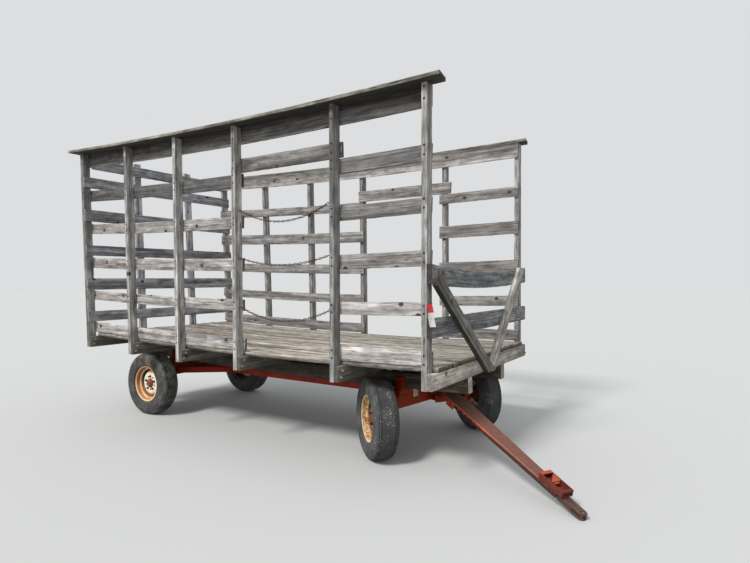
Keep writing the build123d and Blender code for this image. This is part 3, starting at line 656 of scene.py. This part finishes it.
# The hitch box is folded plate welded on top of the tongue's end. Inside it a sprung latch,
# painted bright orange, holds the clevis that slides under the box.
box_paint = painted_steel("hitch_box_paint", (112, 52, 42), (122, 64, 50), 0.02, 0.06,
                          (80, 46, 38), (118, 72, 58))
hitch_box = softened("hitch_box", 0.002)
box_rear, box_half, box_floor = 1.445, 0.054, 0.0365
box_beads = ((0.01, 0.07), (0.11, 0.17))
for side in (-1, 1):
    for bead in box_beads:
        weld(hitch_box, *[on_tongue @ Vector((box_rear + x, side * box_half, box_floor))
                          for x in bead], 0.006)
piece("hitch_box_plate", hitch_box, box_paint, ["hitch_box"], "tongue")
clevis_steel = painted_steel("clevis_steel", (88, 66, 58), (102, 80, 70), 0.1, 0.0,
                             (66, 48, 42), (112, 88, 76))
steel_piece("hitch_clevis", 0.003, clevis_steel, "tongue")
latch_paint = painted_steel("latch_paint", (190, 74, 44), (172, 90, 64), -0.04, 0.04,
                            rust_dark, rust_pale)
steel_piece("hitch_latch", 0.0015, latch_paint, "tongue")
# A bright strip of the same paint lies across the top of the box's rear end.
strip = bmesh.new()
strip_long, strip_half, strip_top = 0.034, 0.0545, 0.0886
bmesh.ops.create_cube(strip, size=1, matrix=on_tongue
                      @ Matrix.Translation((box_rear + strip_long / 2, 0, strip_top - 0.003))
                      @ Matrix.Diagonal((strip_long + 0.001, strip_half * 2, 0.0066, 1)))
rounded(strip, strip.edges[:], 0.0018, clamp=False)
piece("hitch_box_strip", strip, latch_paint, body="tongue")


# Main sills: two heavy oak timbers along the bed, laid on the bolsters between the stakes.
# They are brown grey in the shade, with paler sawn ends.

def solids(node):
    """The corners of each separate solid of a CAD node, from the rear forward."""
    bm = node_mesh(node)
    left = set(bm.verts)
    found = []
    while left:
        group = [left.pop()]
        for vert in group:
            near = {e.other_vert(vert) for e in vert.link_edges} & left
            left -= near
            group += near
        found.append(np.array([v.co for v in group]))
    bm.free()
    return sorted(found, key=lambda c: (round(c[:, 0].min(), 3), round(c[:, 1].min(), 3),
                                        round(c[:, 2].min(), 3)))


def halfway(values):
    """The middle between the lowest and the highest."""
    return (values.min() + values.max()) / 2


sill_corners = solids("main_sills")[0]
sill_tops = sill_corners[sill_corners[:, 2] > halfway(sill_corners[:, 2])]
bed_curve = np.polyfit(sill_tops[:, 0], sill_tops[:, 2], 2)


def span(corners):
    """The lowest and the highest of X, Y and Z."""
    return corners.min(axis=0), corners.max(axis=0)


def bed_z(x):
    """The height of the main sills' top at x. Every long board follows it."""
    return float(np.polyval(bed_curve, x))


def along_bed(corners, flat):
    """Size and place of a board along the bed: flat, or standing on its edge."""
    low, high = span(corners)
    above = corners[:, 2] - np.polyval(bed_curve, corners[:, 0])
    base, tall = above.min(), above.max() - above.min()
    long, wide = high[0] - low[0], high[1] - low[1]

    def place(a, b, c):
        over, up = (b, c) if flat else (c, b)
        return low[0] + a, low[1] + over, bed_z(low[0] + a) + base + up

    return ((long, wide, tall) if flat else (long, tall, wide)), place


def lean_of(corners):
    """The foot's low x, the thickness along X, and how far the top stands behind the foot."""
    level = halfway(corners[:, 2])
    foot = corners[corners[:, 2] < level][:, 0]
    head = corners[corners[:, 2] > level][:, 0]
    return foot.min(), foot.max() - foot.min(), foot.min() - head.min()


def leaning(corners, is_post):
    """Size and place of a post, its grain up it, or of a timber along Y on its edge."""
    low, high = span(corners)
    rear, thick, lean = lean_of(corners)
    wide, tall = high[1] - low[1], high[2] - low[2]

    def place(a, b, c):
        over, up = (b, a) if is_post else (a, b)
        return rear + c - lean * up / tall, low[1] + over, low[2] + up

    return ((tall, wide, thick) if is_post else (wide, tall, thick)), place


def timber(total, size, place, seed, shade=0.0, step=0.07, edge=0.003, wave=0.0015,
           slant=0.004, spare=(0, 0, 0), cut_back=0.0, tinge=None):
    """Adds one sawn timber to a mesh. It is shaped straight, a along, b across and c through,
    and then put in its place. Its grain and tone are kept as attributes for the finish, and
    tinge(a, b, c) says where it is paler or darker than its shade."""
    dice = random.Random(seed)
    long, wide, thick = size
    one = bmesh.new()
    grain = one.verts.layers.float_vector.new("grain")
    tone = one.verts.layers.float.new("tone")
    sawn = one.faces.layers.float.new("sawn_end")
    inner = [side - 2 * gap for side, gap in zip(size, spare)]
    bmesh.ops.create_cube(one, size=1, matrix=Matrix.Translation(Vector(size) / 2)
                          @ Matrix.Diagonal((*inner, 1)))

    def lengthwise():
        return [e for e in one.edges if abs(e.verts[0].co.x - e.verts[1].co.x) > long / 2]

    rounded(one, lengthwise(), edge, clamp=False)
    bmesh.ops.subdivide_edges(one, edges=lengthwise(), cuts=max(2, round(long / step)))
    bmesh.ops.recalc_face_normals(one, faces=one.faces)
    for face in one.faces:
        face[sawn] = 1.0 if abs(face.normal.x) > 0.9 else 0.0
    own_tone = shade + dice.uniform(-0.3, 0.3)
    shift = Vector([dice.uniform(0, 40) for _ in range(3)])
    slants = [dice.uniform(-slant, slant) for _ in range(2)]
    for vert in one.verts:
        a, b, c = vert.co
        vert[grain] = vert.co + shift
        vert[tone] = own_tone + (tinge(a, b, c) if tinge else 0)
        bow = noise.noise(Vector((a * 0.9, seed * 3.7, 0))) * wave
        chew = [noise.noise(Vector((a * 14, side * 9.1, seed))) * wave
                for side in (b > wide / 2, c > thick / 2)]
        end = slants[0] if a < long / 2 else slants[1]
        end *= abs(a / long - 0.5) > 0.49
        inner_b = 1 - 2 * b / wide
        inner_c = 1 - 2 * c / thick
        if a > long * 0.99:
            a += cut_back * (inner_b - 1)
        shaped = (a + end * inner_b,
                  b + bow + chew[0] * abs(inner_b) + abs(chew[1]) * inner_b * 0.5,
                  c + chew[1] * 0.5 * abs(inner_c))
        vert.co = place(*shaped)
    bmesh.ops.recalc_face_normals(one, faces=one.faces)
    join_on(total, one)


def weathered_wood(name, pale, dark, warm, warm_share, end_tint_and_shade, knots=0.34, checks=1.0,
                   figure=0.34, rough=1.0):
    """Old unpainted timber: grey, streaked and blotched, with knots that the grain runs
    round, drying cracks, brown patches and sawn ends of their own colour: paler on some
    timbers, and dark with painted shade on others."""
    material, tree, shader = start_finish(name, 0.9)
    grain = mark(tree, "grain")
    tone, sawn = mark(tree, "tone", "Fac"), mark(tree, "sawn_end", "Fac")
    cell = (1.7, 5.6, 0.0)
    scaled = grain.stretched(*cell)
    cells = add(tree, "TexVoronoi", {"Vector": scaled, "Scale": 1.0, "Randomness": 0.7},
                "Color", voronoi_dimensions="2D")
    kept = cells.parts()[0].band(1 - knots, 1.02 - knots)
    from_knot = scaled.vector("SUBTRACT", cells.beside("Position"))
    from_knot = from_knot.stretched(1 / cell[0], 1 / cell[1], 0.0)
    halo = kept * from_knot.stretched(8.0, 19.0, 0.0).vector("LENGTH").band(1.0, 0.1)
    core = from_knot.stretched(37.0, 50.0, 0.0).vector("LENGTH")
    push = from_knot.vector("MULTIPLY", halo)
    swerved = push.vector("MULTIPLY_ADD", (0.0, -0.85, 0.0), grain)
    streaks = swerved.streaked(0.9, 24.0, 6.0, 0.64)
    fibre = swerved.streaked(7.0, 300.0, 3.0)
    lines = swerved.streaked(4.0, 80.0, 3.0)
    warp = swerved.streaked(0.8, 5.0, 2.0, 0.5)
    patch, blotch = grain.streaked(1.7, 6.0, 5.0), grain.streaked(4.5, 11.0, 4.0)
    mottle = grain.streaked(7.0, 15.0, 3.0, 0.55)
    ring_line = (swerved.parts()[1] * 420.0 + warp * 70.0).math("SINE").band(-0.1, 0.9)
    split = (swerved.streaked(1.0, 42.0, 2.0) - 0.5).math("ABSOLUTE").band(0.016 * checks, 0.0)
    split = split * patch.band(0.42, 0.6)
    colour = layered(dark, (streaks.band(0.34, 0.66), pale), (ring_line * figure, dark),
                     (patch.band(0.48, 0.72) * warm_share, warm),
                     (blotch.band(0.56, 0.74) * 0.6, darker(dark, 0.5)), (halo * 0.35, dark))
    level = (tone * 0.42).math("EXPONENT")
    down = 1 - 0.36 * rough
    for layer, darkest, palest in ((fibre, 0.84, 1.14), (lines, down, 1 + 0.28 * rough),
                                   (mottle, down, 1 + 0.26 * rough)):
        level *= add(tree, "MapRange", {"Value": layer, "From Min": 0.34, "From Max": 0.66,
                                        "To Min": darkest, "To Max": palest})
    knot_line = (core * 11.0).math("SINE").band(-0.5, 0.7)
    knot_wood = mix(knot_line, (58, 49, 42), (92, 82, 72))
    colour = layered(colour.vector("MULTIPLY", level),
                     (kept * core.band(1.15, 0.8), knot_wood), (split, (44, 40, 37)))
    end_rings = grain.streaked(2.0, 34.0, 3.0, 0.5).band(0.3, 0.7)
    end_colour = mix(end_rings, darker(end_tint_and_shade, 0.6), end_tint_and_shade).vector("MULTIPLY", level)
    saw_marks = (grain.parts()[0] * 900.0 + warp * 20.0).math("SINE")
    relief = fibre * 0.35 + streaks * 0.5 - split * 0.8 + saw_marks * 0.05
    cover(shader, mix(sawn, colour, end_colour), relief, 0.003, 0.7)
    return material


sill_wood = weathered_wood("main_sill_wood", (132, 121, 106), (80, 71, 61),
                           (110, 88, 66), 0.45, (196, 186, 166))
sills = bmesh.new()
for i, corners in enumerate(solids("main_sills")):
    size, place = along_bed(corners, False)
    # Painted shade: each sill darkens from its front end back, for the shade under the bed.
    timber(sills, size, place, seed=10 + i, shade=0.35 - 0.9 * i, edge=0.004, wave=0.003,
           tinge=lambda a, b, c: -2.2 * min((size[0] - a) / 1.2, 1))
piece("oak_main_sills", sills, sill_wood, ["main_sills"])
nailed = bmesh.new()
timber(nailed, *along_bed(solids("sill_block")[0], False), seed=14, step=0.03)
piece("nailed_block", nailed, sill_wood, ["sill_block"])


# Cross sills: one across the bed in front of each pair of posts, bolted to both. Each
# bolt has a washer and a nut on the sill's front face. The front one is bleached.
# Their sawn ends are given a dark colour as painted shade, for the shade under the deck.
cross_wood = weathered_wood("cross_sill_wood", (162, 157, 149), (112, 106, 98),
                            (128, 112, 94), 0.25, (110, 106, 98), rough=0.65)
sill_rows = solids("cross_sills")
cross_sills = bmesh.new()
for i, corners in enumerate(sill_rows):
    last = i == len(sill_rows) - 1
    size, place = leaning(corners, False)
    timber(cross_sills, size, place, seed=20 + i, shade=1.75 if last else -0.4,
           tinge=lambda a, b, c: (0.5 - 1.5 * (a / size[0]) ** 2) if last else 0)
piece("bolted_cross_sills", cross_sills, cross_wood, ["cross_sills"])

# Columns: in from the sill's end, up from its underside.
sill_bolts = ((0.060, 0.098), (0.036, 0.040))
bolts = bmesh.new()
for corners in sill_rows:
    low, high = span(corners)
    rear, thick, lean = lean_of(corners)
    for side, end in ((1, low[1]), (-1, high[1])):
        for inward, up in sill_bolts:
            front = rear + thick - lean * up / (high[2] - low[2])
            spot = (front, end + side * inward, low[2] + up)
            hex_bolt(bolts, facing(spot, (1, 0, 0)), 0.012, 8)
zinc = stained_metal("worn_zinc", 0.4, 0.6, 130.0, 4.0, (0.46, 0.64), (188, 184, 176),
                     (104, 82, 66))
piece("sill_bolts", bolts, zinc)


# Deck: rough-sawn planks laid lengthwise over the cross sills and nailed to each. The tops
# are worn, bleached and warm grey. No two lie quite level.
deck_wood = weathered_wood("deck_wood", (216, 207, 193), (128, 118, 105),
                           (172, 154, 132), 0.4, (150, 136, 114), checks=1.4)
deck = bmesh.new()
planks = solids("deck_planks")
# The outermost planks reach out under the toe boards, and all have shrunk a little.
edge_reach = 0.021
plank_gap = 0.0035
plank_dice = random.Random(39)
for i, corners in enumerate(planks):
    sunk = plank_dice.uniform(0, 0.009)
    reach = {0: -edge_reach, len(planks) - 1: edge_reach}.get(i, 0)
    outer = (corners[:, 1:2] - corners[:, 1].mean()) * reach > 0
    (long, wide, thick), place = along_bed(corners + np.array((0, reach, 0)) * outer, True)
    thick -= sunk
    # Painted shade: each plank darkens down its sides to its underside, so the gaps read dark.
    timber(deck, (long, wide, thick), place, seed=40 + i,
           shade=0.35 + plank_dice.uniform(-0.5, 0.5), wave=0.003, slant=0.006,
           spare=(0, plank_gap, 0), tinge=lambda a, b, c: -3.6 * (1 - c / thick))
piece("deck_boards", deck, deck_wood, ["deck_planks"])


def nail(bm, point, direction, radius=0.0045):
    """A nail's head, just proud of the wood."""
    rod(bm, facing(point, direction), 8, radius, 0.003, 0.7)


nail_steel = stained_metal("nail_steel", 0.8, 0.2, 90.0, 3.0, (0.4, 0.6), (26, 23, 22),
                           (44, 36, 31))
deck_nails = bmesh.new()
deck_height = max(planks[0][:, 2] - np.polyval(bed_curve, planks[0][:, 0]))
for corners in planks:
    low, high = span(corners)
    for row in sill_rows:
        x = row[:, 0].mean()
        for y in (low[1] + 0.03, high[1] - 0.03):
            nail(deck_nails, (x, y, bed_z(x) + deck_height - 0.0025), (0, 0, 1))
piece("deck_nails", deck_nails, nail_steel)


# Posts: six sawn uprights a side and two in the rear wall, leaning to the rear more and
# more towards the tail. They are pale grey, and the sun has raised their grain.
post_wood = weathered_wood("post_wood", (176, 173, 169), (112, 109, 106),
                           (140, 130, 116), 0.2, (150, 146, 138), checks=1.4)
# How pale each post is, from the rear forward: its outer edge, then its faces.
post_shades = {
    "right": ((-0.3, 0.6), (0.8, 0.9), (1.6, 0.9), (1.1, 1.3), (-0.1, 0.1), (1.2, 0.6)),
    "left": ((0.6, 0.6),) * 6,
}
post_rows = {}
for side in ("right", "left"):
    posts = bmesh.new()
    post_rows[side] = solids(side + "_posts")
    for i, corners in enumerate(post_rows[side]):
        edge_shade, face_shade = post_shades[side][i]
        size, place = leaning(corners, True)
        timber(posts, size, place, seed=(60 if side == "right" else 70) + i, wave=0.002,
               tinge=lambda a, b, c: edge_shade if b < 0.001 else face_shade)
    piece(side + "_rack_posts", posts, post_wood, [side + "_posts"])


# Side boards and toe boards: inch boards on the posts' inner faces, held at every post by
# two bolts whose dark heads show on the post's outer edge. The lower a right board, the
# paler it is.
# Their sawn ends are given a dark colour as painted shade, for end grain in the shade.
board_wood = weathered_wood("board_wood", (178, 174, 170), (112, 108, 106),
                            (144, 132, 118), 0.3, (84, 80, 75), knots=0.5,
                            checks=1.2, rough=0.8)
# How pale each right board is: from the top down behind the door, over it, before it,
# and then the two toe boards.
right_shades = (-1.1, -1.7, 1.1, 0.7, 1.2, -0.7, -0.9, -0.4, 0.9, 1.7, 1.0, 1.7)
toe_lift, cap_reach = 0.048, 0.007
bolt_head_r, inner_head_r = 0.0105, 0.006
bolt_shares = (0.22, 0.78)
board_heads = bmesh.new()


def is_low(corners):
    """Which corners of a board along the bed are on its lower edge."""
    above = corners[:, 2:] - np.polyval(bed_curve, corners[:, :1])
    return above < above.mean()


for side in ("right", "left"):
    boards = bmesh.new()
    outward = -1 if side == "right" else 1
    rows = solids(side + "_boards") + solids(side + "_toe_boards")
    toe_count = len(solids(side + "_toe_boards"))
    for i, corners in enumerate(rows):
        is_toe = i >= len(rows) - toe_count
        if is_toe:
            corners = corners + np.array((0, 0, toe_lift)) * is_low(corners)
        elif i == 0:
            corners = corners + np.array((0, 0, cap_reach)) * ~is_low(corners)
        size, place = along_bed(corners, False)
        low, high = span(corners)
        inner_y = high[1] if outward < 0 else low[1]
        # Painted shade: the top board of each side darkens towards its upper edge, under the cap.
        timber(boards, size, place, seed=(100 if side == "right" else 130) + i,
               shade=right_shades[i] if side == "right" else 0.25, wave=0.003,
               tinge=lambda a, b, c: (1.6 - 3.4 * b / size[1]) if i == 0 else 0)
        for post in post_rows[side]:
            rear, thick, lean = lean_of(post)
            foot, tall = post[:, 2].min(), post[:, 2].max() - post[:, 2].min()
            edge_y = post[:, 1].min() if outward < 0 else post[:, 1].max()
            for share in bolt_shares:
                x = rear + thick / 2
                z = place(x - low[0], size[1] * share, 0)[2]
                x -= lean * (z - foot) / tall
                if low[0] < x < high[0]:
                    nail(board_heads, (x, edge_y + outward * 0.001, z), (0, outward, 0),
                         bolt_head_r)
                    nail(board_heads, (x, inner_y - outward * 0.001, z), (0, -outward, 0),
                         inner_head_r)
    piece(side + "_rack_boards", boards, board_wood,
          [side + "_boards", side + "_toe_boards"])
piece("board_heads", board_heads, nail_steel)


# Caps: a plank laid flat along the tops of each side's posts. They take the weather, so
# they are dark, cupped, split and spotted with pale green lichen.
cap_wood = weathered_wood("cap_wood", (158, 153, 140), (88, 84, 75),
                          (156, 156, 138), 0.45, (92, 90, 82), checks=1.8)
cap_spare = 0.0035
for i, side in enumerate(("right", "left")):
    cap = bmesh.new()
    size, place = along_bed(solids(side + "_cap")[0], True)
    # Painted shade: the cap's underside is nearly black. Its long edges are paler with lichen.
    timber(cap, size, place, seed=160 + i, shade=-0.2, wave=0.003, slant=0.002,
           spare=(cap_spare,) * 3, cut_back=0.016,
           tinge=lambda a, b, c: -3.2 if c < cap_spare + 0.001 else 0.9 * (
               b < cap_spare + 0.001 or b > size[1] - cap_spare - 0.001))
    piece(side + "_cap_plank", cap, cap_wood, [side + "_cap"])


# Rear wall: six boards on the front faces of the corner posts and of two posts between
# them. It stands in the shade, which makes it look darker, and its grey is painted a
# little bluer as painted shade.
dark_wood = weathered_wood("shaded_wood", (176, 176, 178), (110, 110, 113),
                           (132, 124, 114), 0.2, (150, 146, 138), knots=0.38,
                           figure=0.5)
rear_wall = bmesh.new()
for i, corners in enumerate(solids("rear_posts")):
    timber(rear_wall, *leaning(corners, True), seed=170 + i, shade=1.0, wave=0.002)
piece("rear_wall_posts", rear_wall, dark_wood, ["rear_posts"])
wall_post_ys = (-1.176, -0.43, 0.43, 1.176)
rear_wall = bmesh.new()
wall_nails = bmesh.new()
for i, corners in enumerate(solids("rear_boards")):
    size, place = leaning(corners, False)
    timber(rear_wall, size, place, seed=180 + i, shade=0.6, wave=0.003)
    low, high = span(corners)
    for y in wall_post_ys:
        if low[1] < y < high[1]:
            for share in (0.25, 0.75):
                x, _, z = place(0, size[1] * share, size[2])
                nail(wall_nails, (x + 0.0005, y + (share - 0.5) * 0.03, z), (1, 0, 0))
piece("rear_wall_boards", rear_wall, dark_wood, ["rear_boards"])
piece("rear_wall_nails", wall_nails, nail_steel)


# Front rack: two thick boards across the front posts, sagging at the middle, and two
# braces from the upper corners down to the middle of the front sill. The right brace is a
# brown plank and the left one is bleached.
# Their sawn ends are given a dark colour as painted shade, for end grain in the shade.
front_wood = weathered_wood("front_board_wood", (190, 190, 190), (112, 112, 114),
                            (140, 136, 130), 0.2, (84, 78, 76), figure=0.7)
rack = bmesh.new()
for i, corners in enumerate(solids("front_boards")):
    low, high = span(corners)
    ends = corners[np.abs(corners[:, 1]) > high[1] - 0.001]
    end_low, end_high = ends[:, 2].min(), ends[:, 2].max()
    dip = end_low - low[2]
    half = high[1]
    timber(rack, (2 * half, end_high - end_low, high[0] - low[0]),
           lambda a, b, c: (low[0] + c, a - half, end_low + b - dip * (1 - (a / half - 1) ** 2)),
           seed=200 + i, shade=-0.1, wave=0.004)
piece("front_rack_boards", rack, front_wood, ["front_boards"])

brace_wood = weathered_wood("brace_wood", (170, 165, 157), (106, 101, 95),
                            (126, 114, 102), 0.35, (150, 144, 134))
# How far out each brace's middle line would be at the brace's full height.
brace_runs = {-1: 1.340, 1: 0.975}
brace_wide, brace_spare = 0.112, 0.12
brace_shades = {-1: -0.3, 1: 1.5}
# The right brace has painted shade along its lower edge, and it is darker and darker near its top.
shaded_edge_tone, top_tone, top_share = -3.0, -11, 0.72
rack_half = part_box("front_boards")[1].y
braces = bmesh.new()
for i, corners in enumerate(sorted(solids("front_braces"), key=lambda c: c[:, 1].mean())):
    side = -1 if corners[:, 1].mean() < 0 else 1
    low, high = span(corners)
    run, rise = brace_runs[side], high[2] - low[2]
    slope = Vector((0, side * run, rise)).normalized()
    across = Vector((0, side * rise, -run)).normalized()
    start = Vector((low[0], 0, low[2])) - slope * brace_spare - across * brace_wide / 2
    one = bmesh.new()
    brace_long = math.hypot(run, rise) + 2 * brace_spare
    timber(one, (brace_long, brace_wide, high[0] - low[0]),
           lambda a, b, c: start + slope * a + across * b + Vector((c, 0, 0)),
           seed=210 + i, shade=brace_shades[side], wave=0.002,
           tinge=lambda a, b, c: (shaded_edge_tone * (b > brace_wide - 0.001) + top_tone
                                  * max(a / brace_long - top_share, 0)) if side < 0 else 0)
    for point, normal in (((0, 0, low[2]), (0, 0, -1)), ((0, 0, high[2]), (0, 0, 1)),
                          ((0, side * 0.0003, 0), (0, -side, 0)),
                          ((0, side * (rack_half - 0.0003), 0), (0, side, 0))):
        cut = bmesh.ops.bisect_plane(one, geom=one.verts[:] + one.edges[:] + one.faces[:],
                                     plane_co=point, plane_no=normal, clear_outer=True)
        cut_edges = [g for g in cut["geom_cut"] if isinstance(g, bmesh.types.BMEdge)]
        bmesh.ops.contextual_create(one, geom=cut_edges)
    join_on(braces, one)
piece("front_rack_braces", braces, brace_wood, ["front_braces"])


# Door chains: three rusty chains hung between screw eyes in the door posts.
link_long = 0.038
link_wide = 0.024
wire_r = 0.0036
line_steps = 200


def link(bm, middle, along, turned):
    """One chain link: a ring of round wire, stretched along the chain."""
    along = along.normalized()
    side = along.cross(upward).normalized()
    up = side.cross(along)
    across, flat = (side, up) if turned else (up, side)
    one = bmesh.new()
    bmesh.ops.create_circle(one, segments=6, radius=wire_r,
                            matrix=Matrix.Translation((link_wide / 2 - wire_r, 0, 0))
                            @ Matrix.Rotation(math.pi / 2, 4, "X"))
    bmesh.ops.spin(one, geom=one.verts[:] + one.edges[:], cent=(0, 0, 0), axis=(0, 0, 1),
                   angle=math.tau, steps=12, use_merge=True)
    bmesh.ops.remove_doubles(one, verts=one.verts, dist=1e-6)
    straight = (link_long - link_wide) / 2
    for vert in one.verts:
        vert.co.y += math.copysign(straight, vert.co.y) if abs(vert.co.y) > 1e-5 else 0
    bmesh.ops.recalc_face_normals(one, faces=one.faces)
    one.transform(standing(middle, across, along, flat))
    join_on(bm, one)


chain_steel = painted_steel("rusted_chain", (74, 54, 44), (60, 46, 40), 0.1, 0.0,
                            (52, 40, 34), (86, 62, 50))
chains = bmesh.new()
for corners in solids("door_chains"):
    low, high = span(corners)
    y = (low[1] + high[1]) / 2
    ends = []
    for x in (high[0], low[0]):
        end_z = corners[np.abs(corners[:, 0] - x) < 0.003][:, 2]
        ends.insert(0, Vector((x, y, halfway(end_z))))
    half_thick = (end_z.max() - end_z.min()) / 2
    sag = (ends[0].z + ends[1].z) / 2 - (low[2] + half_thick)
    line = [ends[0].lerp(ends[1], i / line_steps) for i in range(line_steps + 1)]
    for i, spot in enumerate(line):
        spot.z -= sag * 4 * i / line_steps * (1 - i / line_steps)
    pitch = link_long - 2 * wire_r
    gone, wanted, count = 0.0, pitch / 2, 0
    for before, after in zip(line, line[1:]):
        gone += (after - before).length
        if gone >= wanted:
            link(chains, after, after - before, count % 2 == 0)
            wanted += pitch
            count += 1
piece("linked_chains", chains, chain_steel, ["door_chains"])
piece("screw_eyes", softened("chain_eyes", 0.0008), chain_steel,
      ["chain_eyes"])


# Tag: a blank card, red above and white below, nailed by its top to the front right post.
# It has curled a little, and rain has stained it.
post_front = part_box("front_boards")[0].x
tag_wide, tag_tall = 0.064, 0.178
tag_swing, tag_drift = 0.070, -0.015
tag_middle = (post_front + 0.012, -1.222, 1.418)
tag_place = standing(tag_middle, Vector((0.35, 0.93, 0)).normalized(),
                     Vector((0.93, -0.35, 0)).normalized(), upward)
tag = bmesh.new()
own_layer = tag.verts.layers.float_vector.new("card")
bmesh.ops.create_grid(tag, x_segments=4, y_segments=12, size=0.5)
bmesh.ops.solidify(tag, geom=tag.faces[:], thickness=0.004)
for vert in tag.verts:
    across, up, through = vert.co
    vert[own_layer] = (across, up, through)
    curl = 0.006 * (across * across * 4 - 0.4) + 0.005 * math.sin(up * 5)
    fallen = 0.5 - up
    vert.co = (across * tag_wide + fallen * tag_drift,
               curl + through * 0.2 + 0.006 + fallen * tag_swing, up * tag_tall)
tag.transform(tag_place)
bmesh.ops.recalc_face_normals(tag, faces=tag.faces)
card, tree, shader = start_finish("tag_card", 0.5)
marks = mark(tree, "card")
wet = marks.cloud(3.0, 4.0).band(0.45, 0.7)
white = mix(wet, (232, 230, 224), (206, 200, 188))
red = mix(wet, (206, 44, 52), (188, 62, 64))
cover(shader, mix(marks.parts()[1].band(0.12, 0.13), white, red), marks.cloud(5.0, 3.0),
      0.001, 0.4)
piece("blank_tag", tag, card)


# Floor, light and camera. The floor looks pale but throws little light back up, as grass
# does, so the undersides stay dark.
ground = bmesh.new()
bmesh.ops.create_grid(ground, x_segments=1, y_segments=1, size=60)
floor = in_scene("floor", kept_mesh("floor", ground))
floor_finish, tree, shader = start_finish("pale_floor", 0.95)


def seen_rays(tree):
    """One for the camera's rays and for reflections, and none for bounced light."""
    seen = add(tree, "LightPath", out="Is Camera Ray")
    reflected, through = seen.beside("Is Glossy Ray"), seen.beside("Is Transmission Ray")
    return seen.math("MAXIMUM", reflected).math("MAXIMUM", through)


pale = mix(seen_rays(tree), (0.26, 0.26, 0.24, 1), (0.62, 0.62, 0.60, 1))
tree.links.new(pale.socket, shader.inputs["Base Color"])
floor.data.materials.append(floor_finish)

world = bpy.data.worlds.new("studio")
bpy.context.scene.world = world
world.use_nodes = True
tree = world.node_tree
sky = mix(seen_rays(tree), (0.60, 0.62, 0.65, 1), (0.72, 0.73, 0.74, 1))
tree.links.new(sky.socket, tree.nodes["Background"].inputs["Color"])

lamp = bpy.data.lights.new("key", "SUN")
lamp.energy = 2.4
lamp.angle = math.radians(13)
toward_sun = Vector((-0.12, -0.75, 0.80))
in_scene("key", lamp).rotation_euler = toward_sun.to_track_quat("Z", "Y").to_euler()

camera_data = bpy.data.cameras.new("camera")
camera_data.sensor_width = 36
camera_data.lens = 26.04
camera = in_scene("camera", camera_data)
# Two metres in front of the front posts, well out to the right, at a person's eye height.
camera.location = (post_front + 1.997, -5.133, 1.717)
yaw, pitch = math.radians(122.5), math.radians(-0.35)
aim = Vector((math.cos(yaw) * math.cos(pitch), math.sin(yaw) * math.cos(pitch), math.sin(pitch)))
camera.rotation_euler = aim.to_track_quat("-Z", "Y").to_euler()
bpy.context.scene.camera = camera
bpy.context.scene.view_settings.view_transform = "Standard"
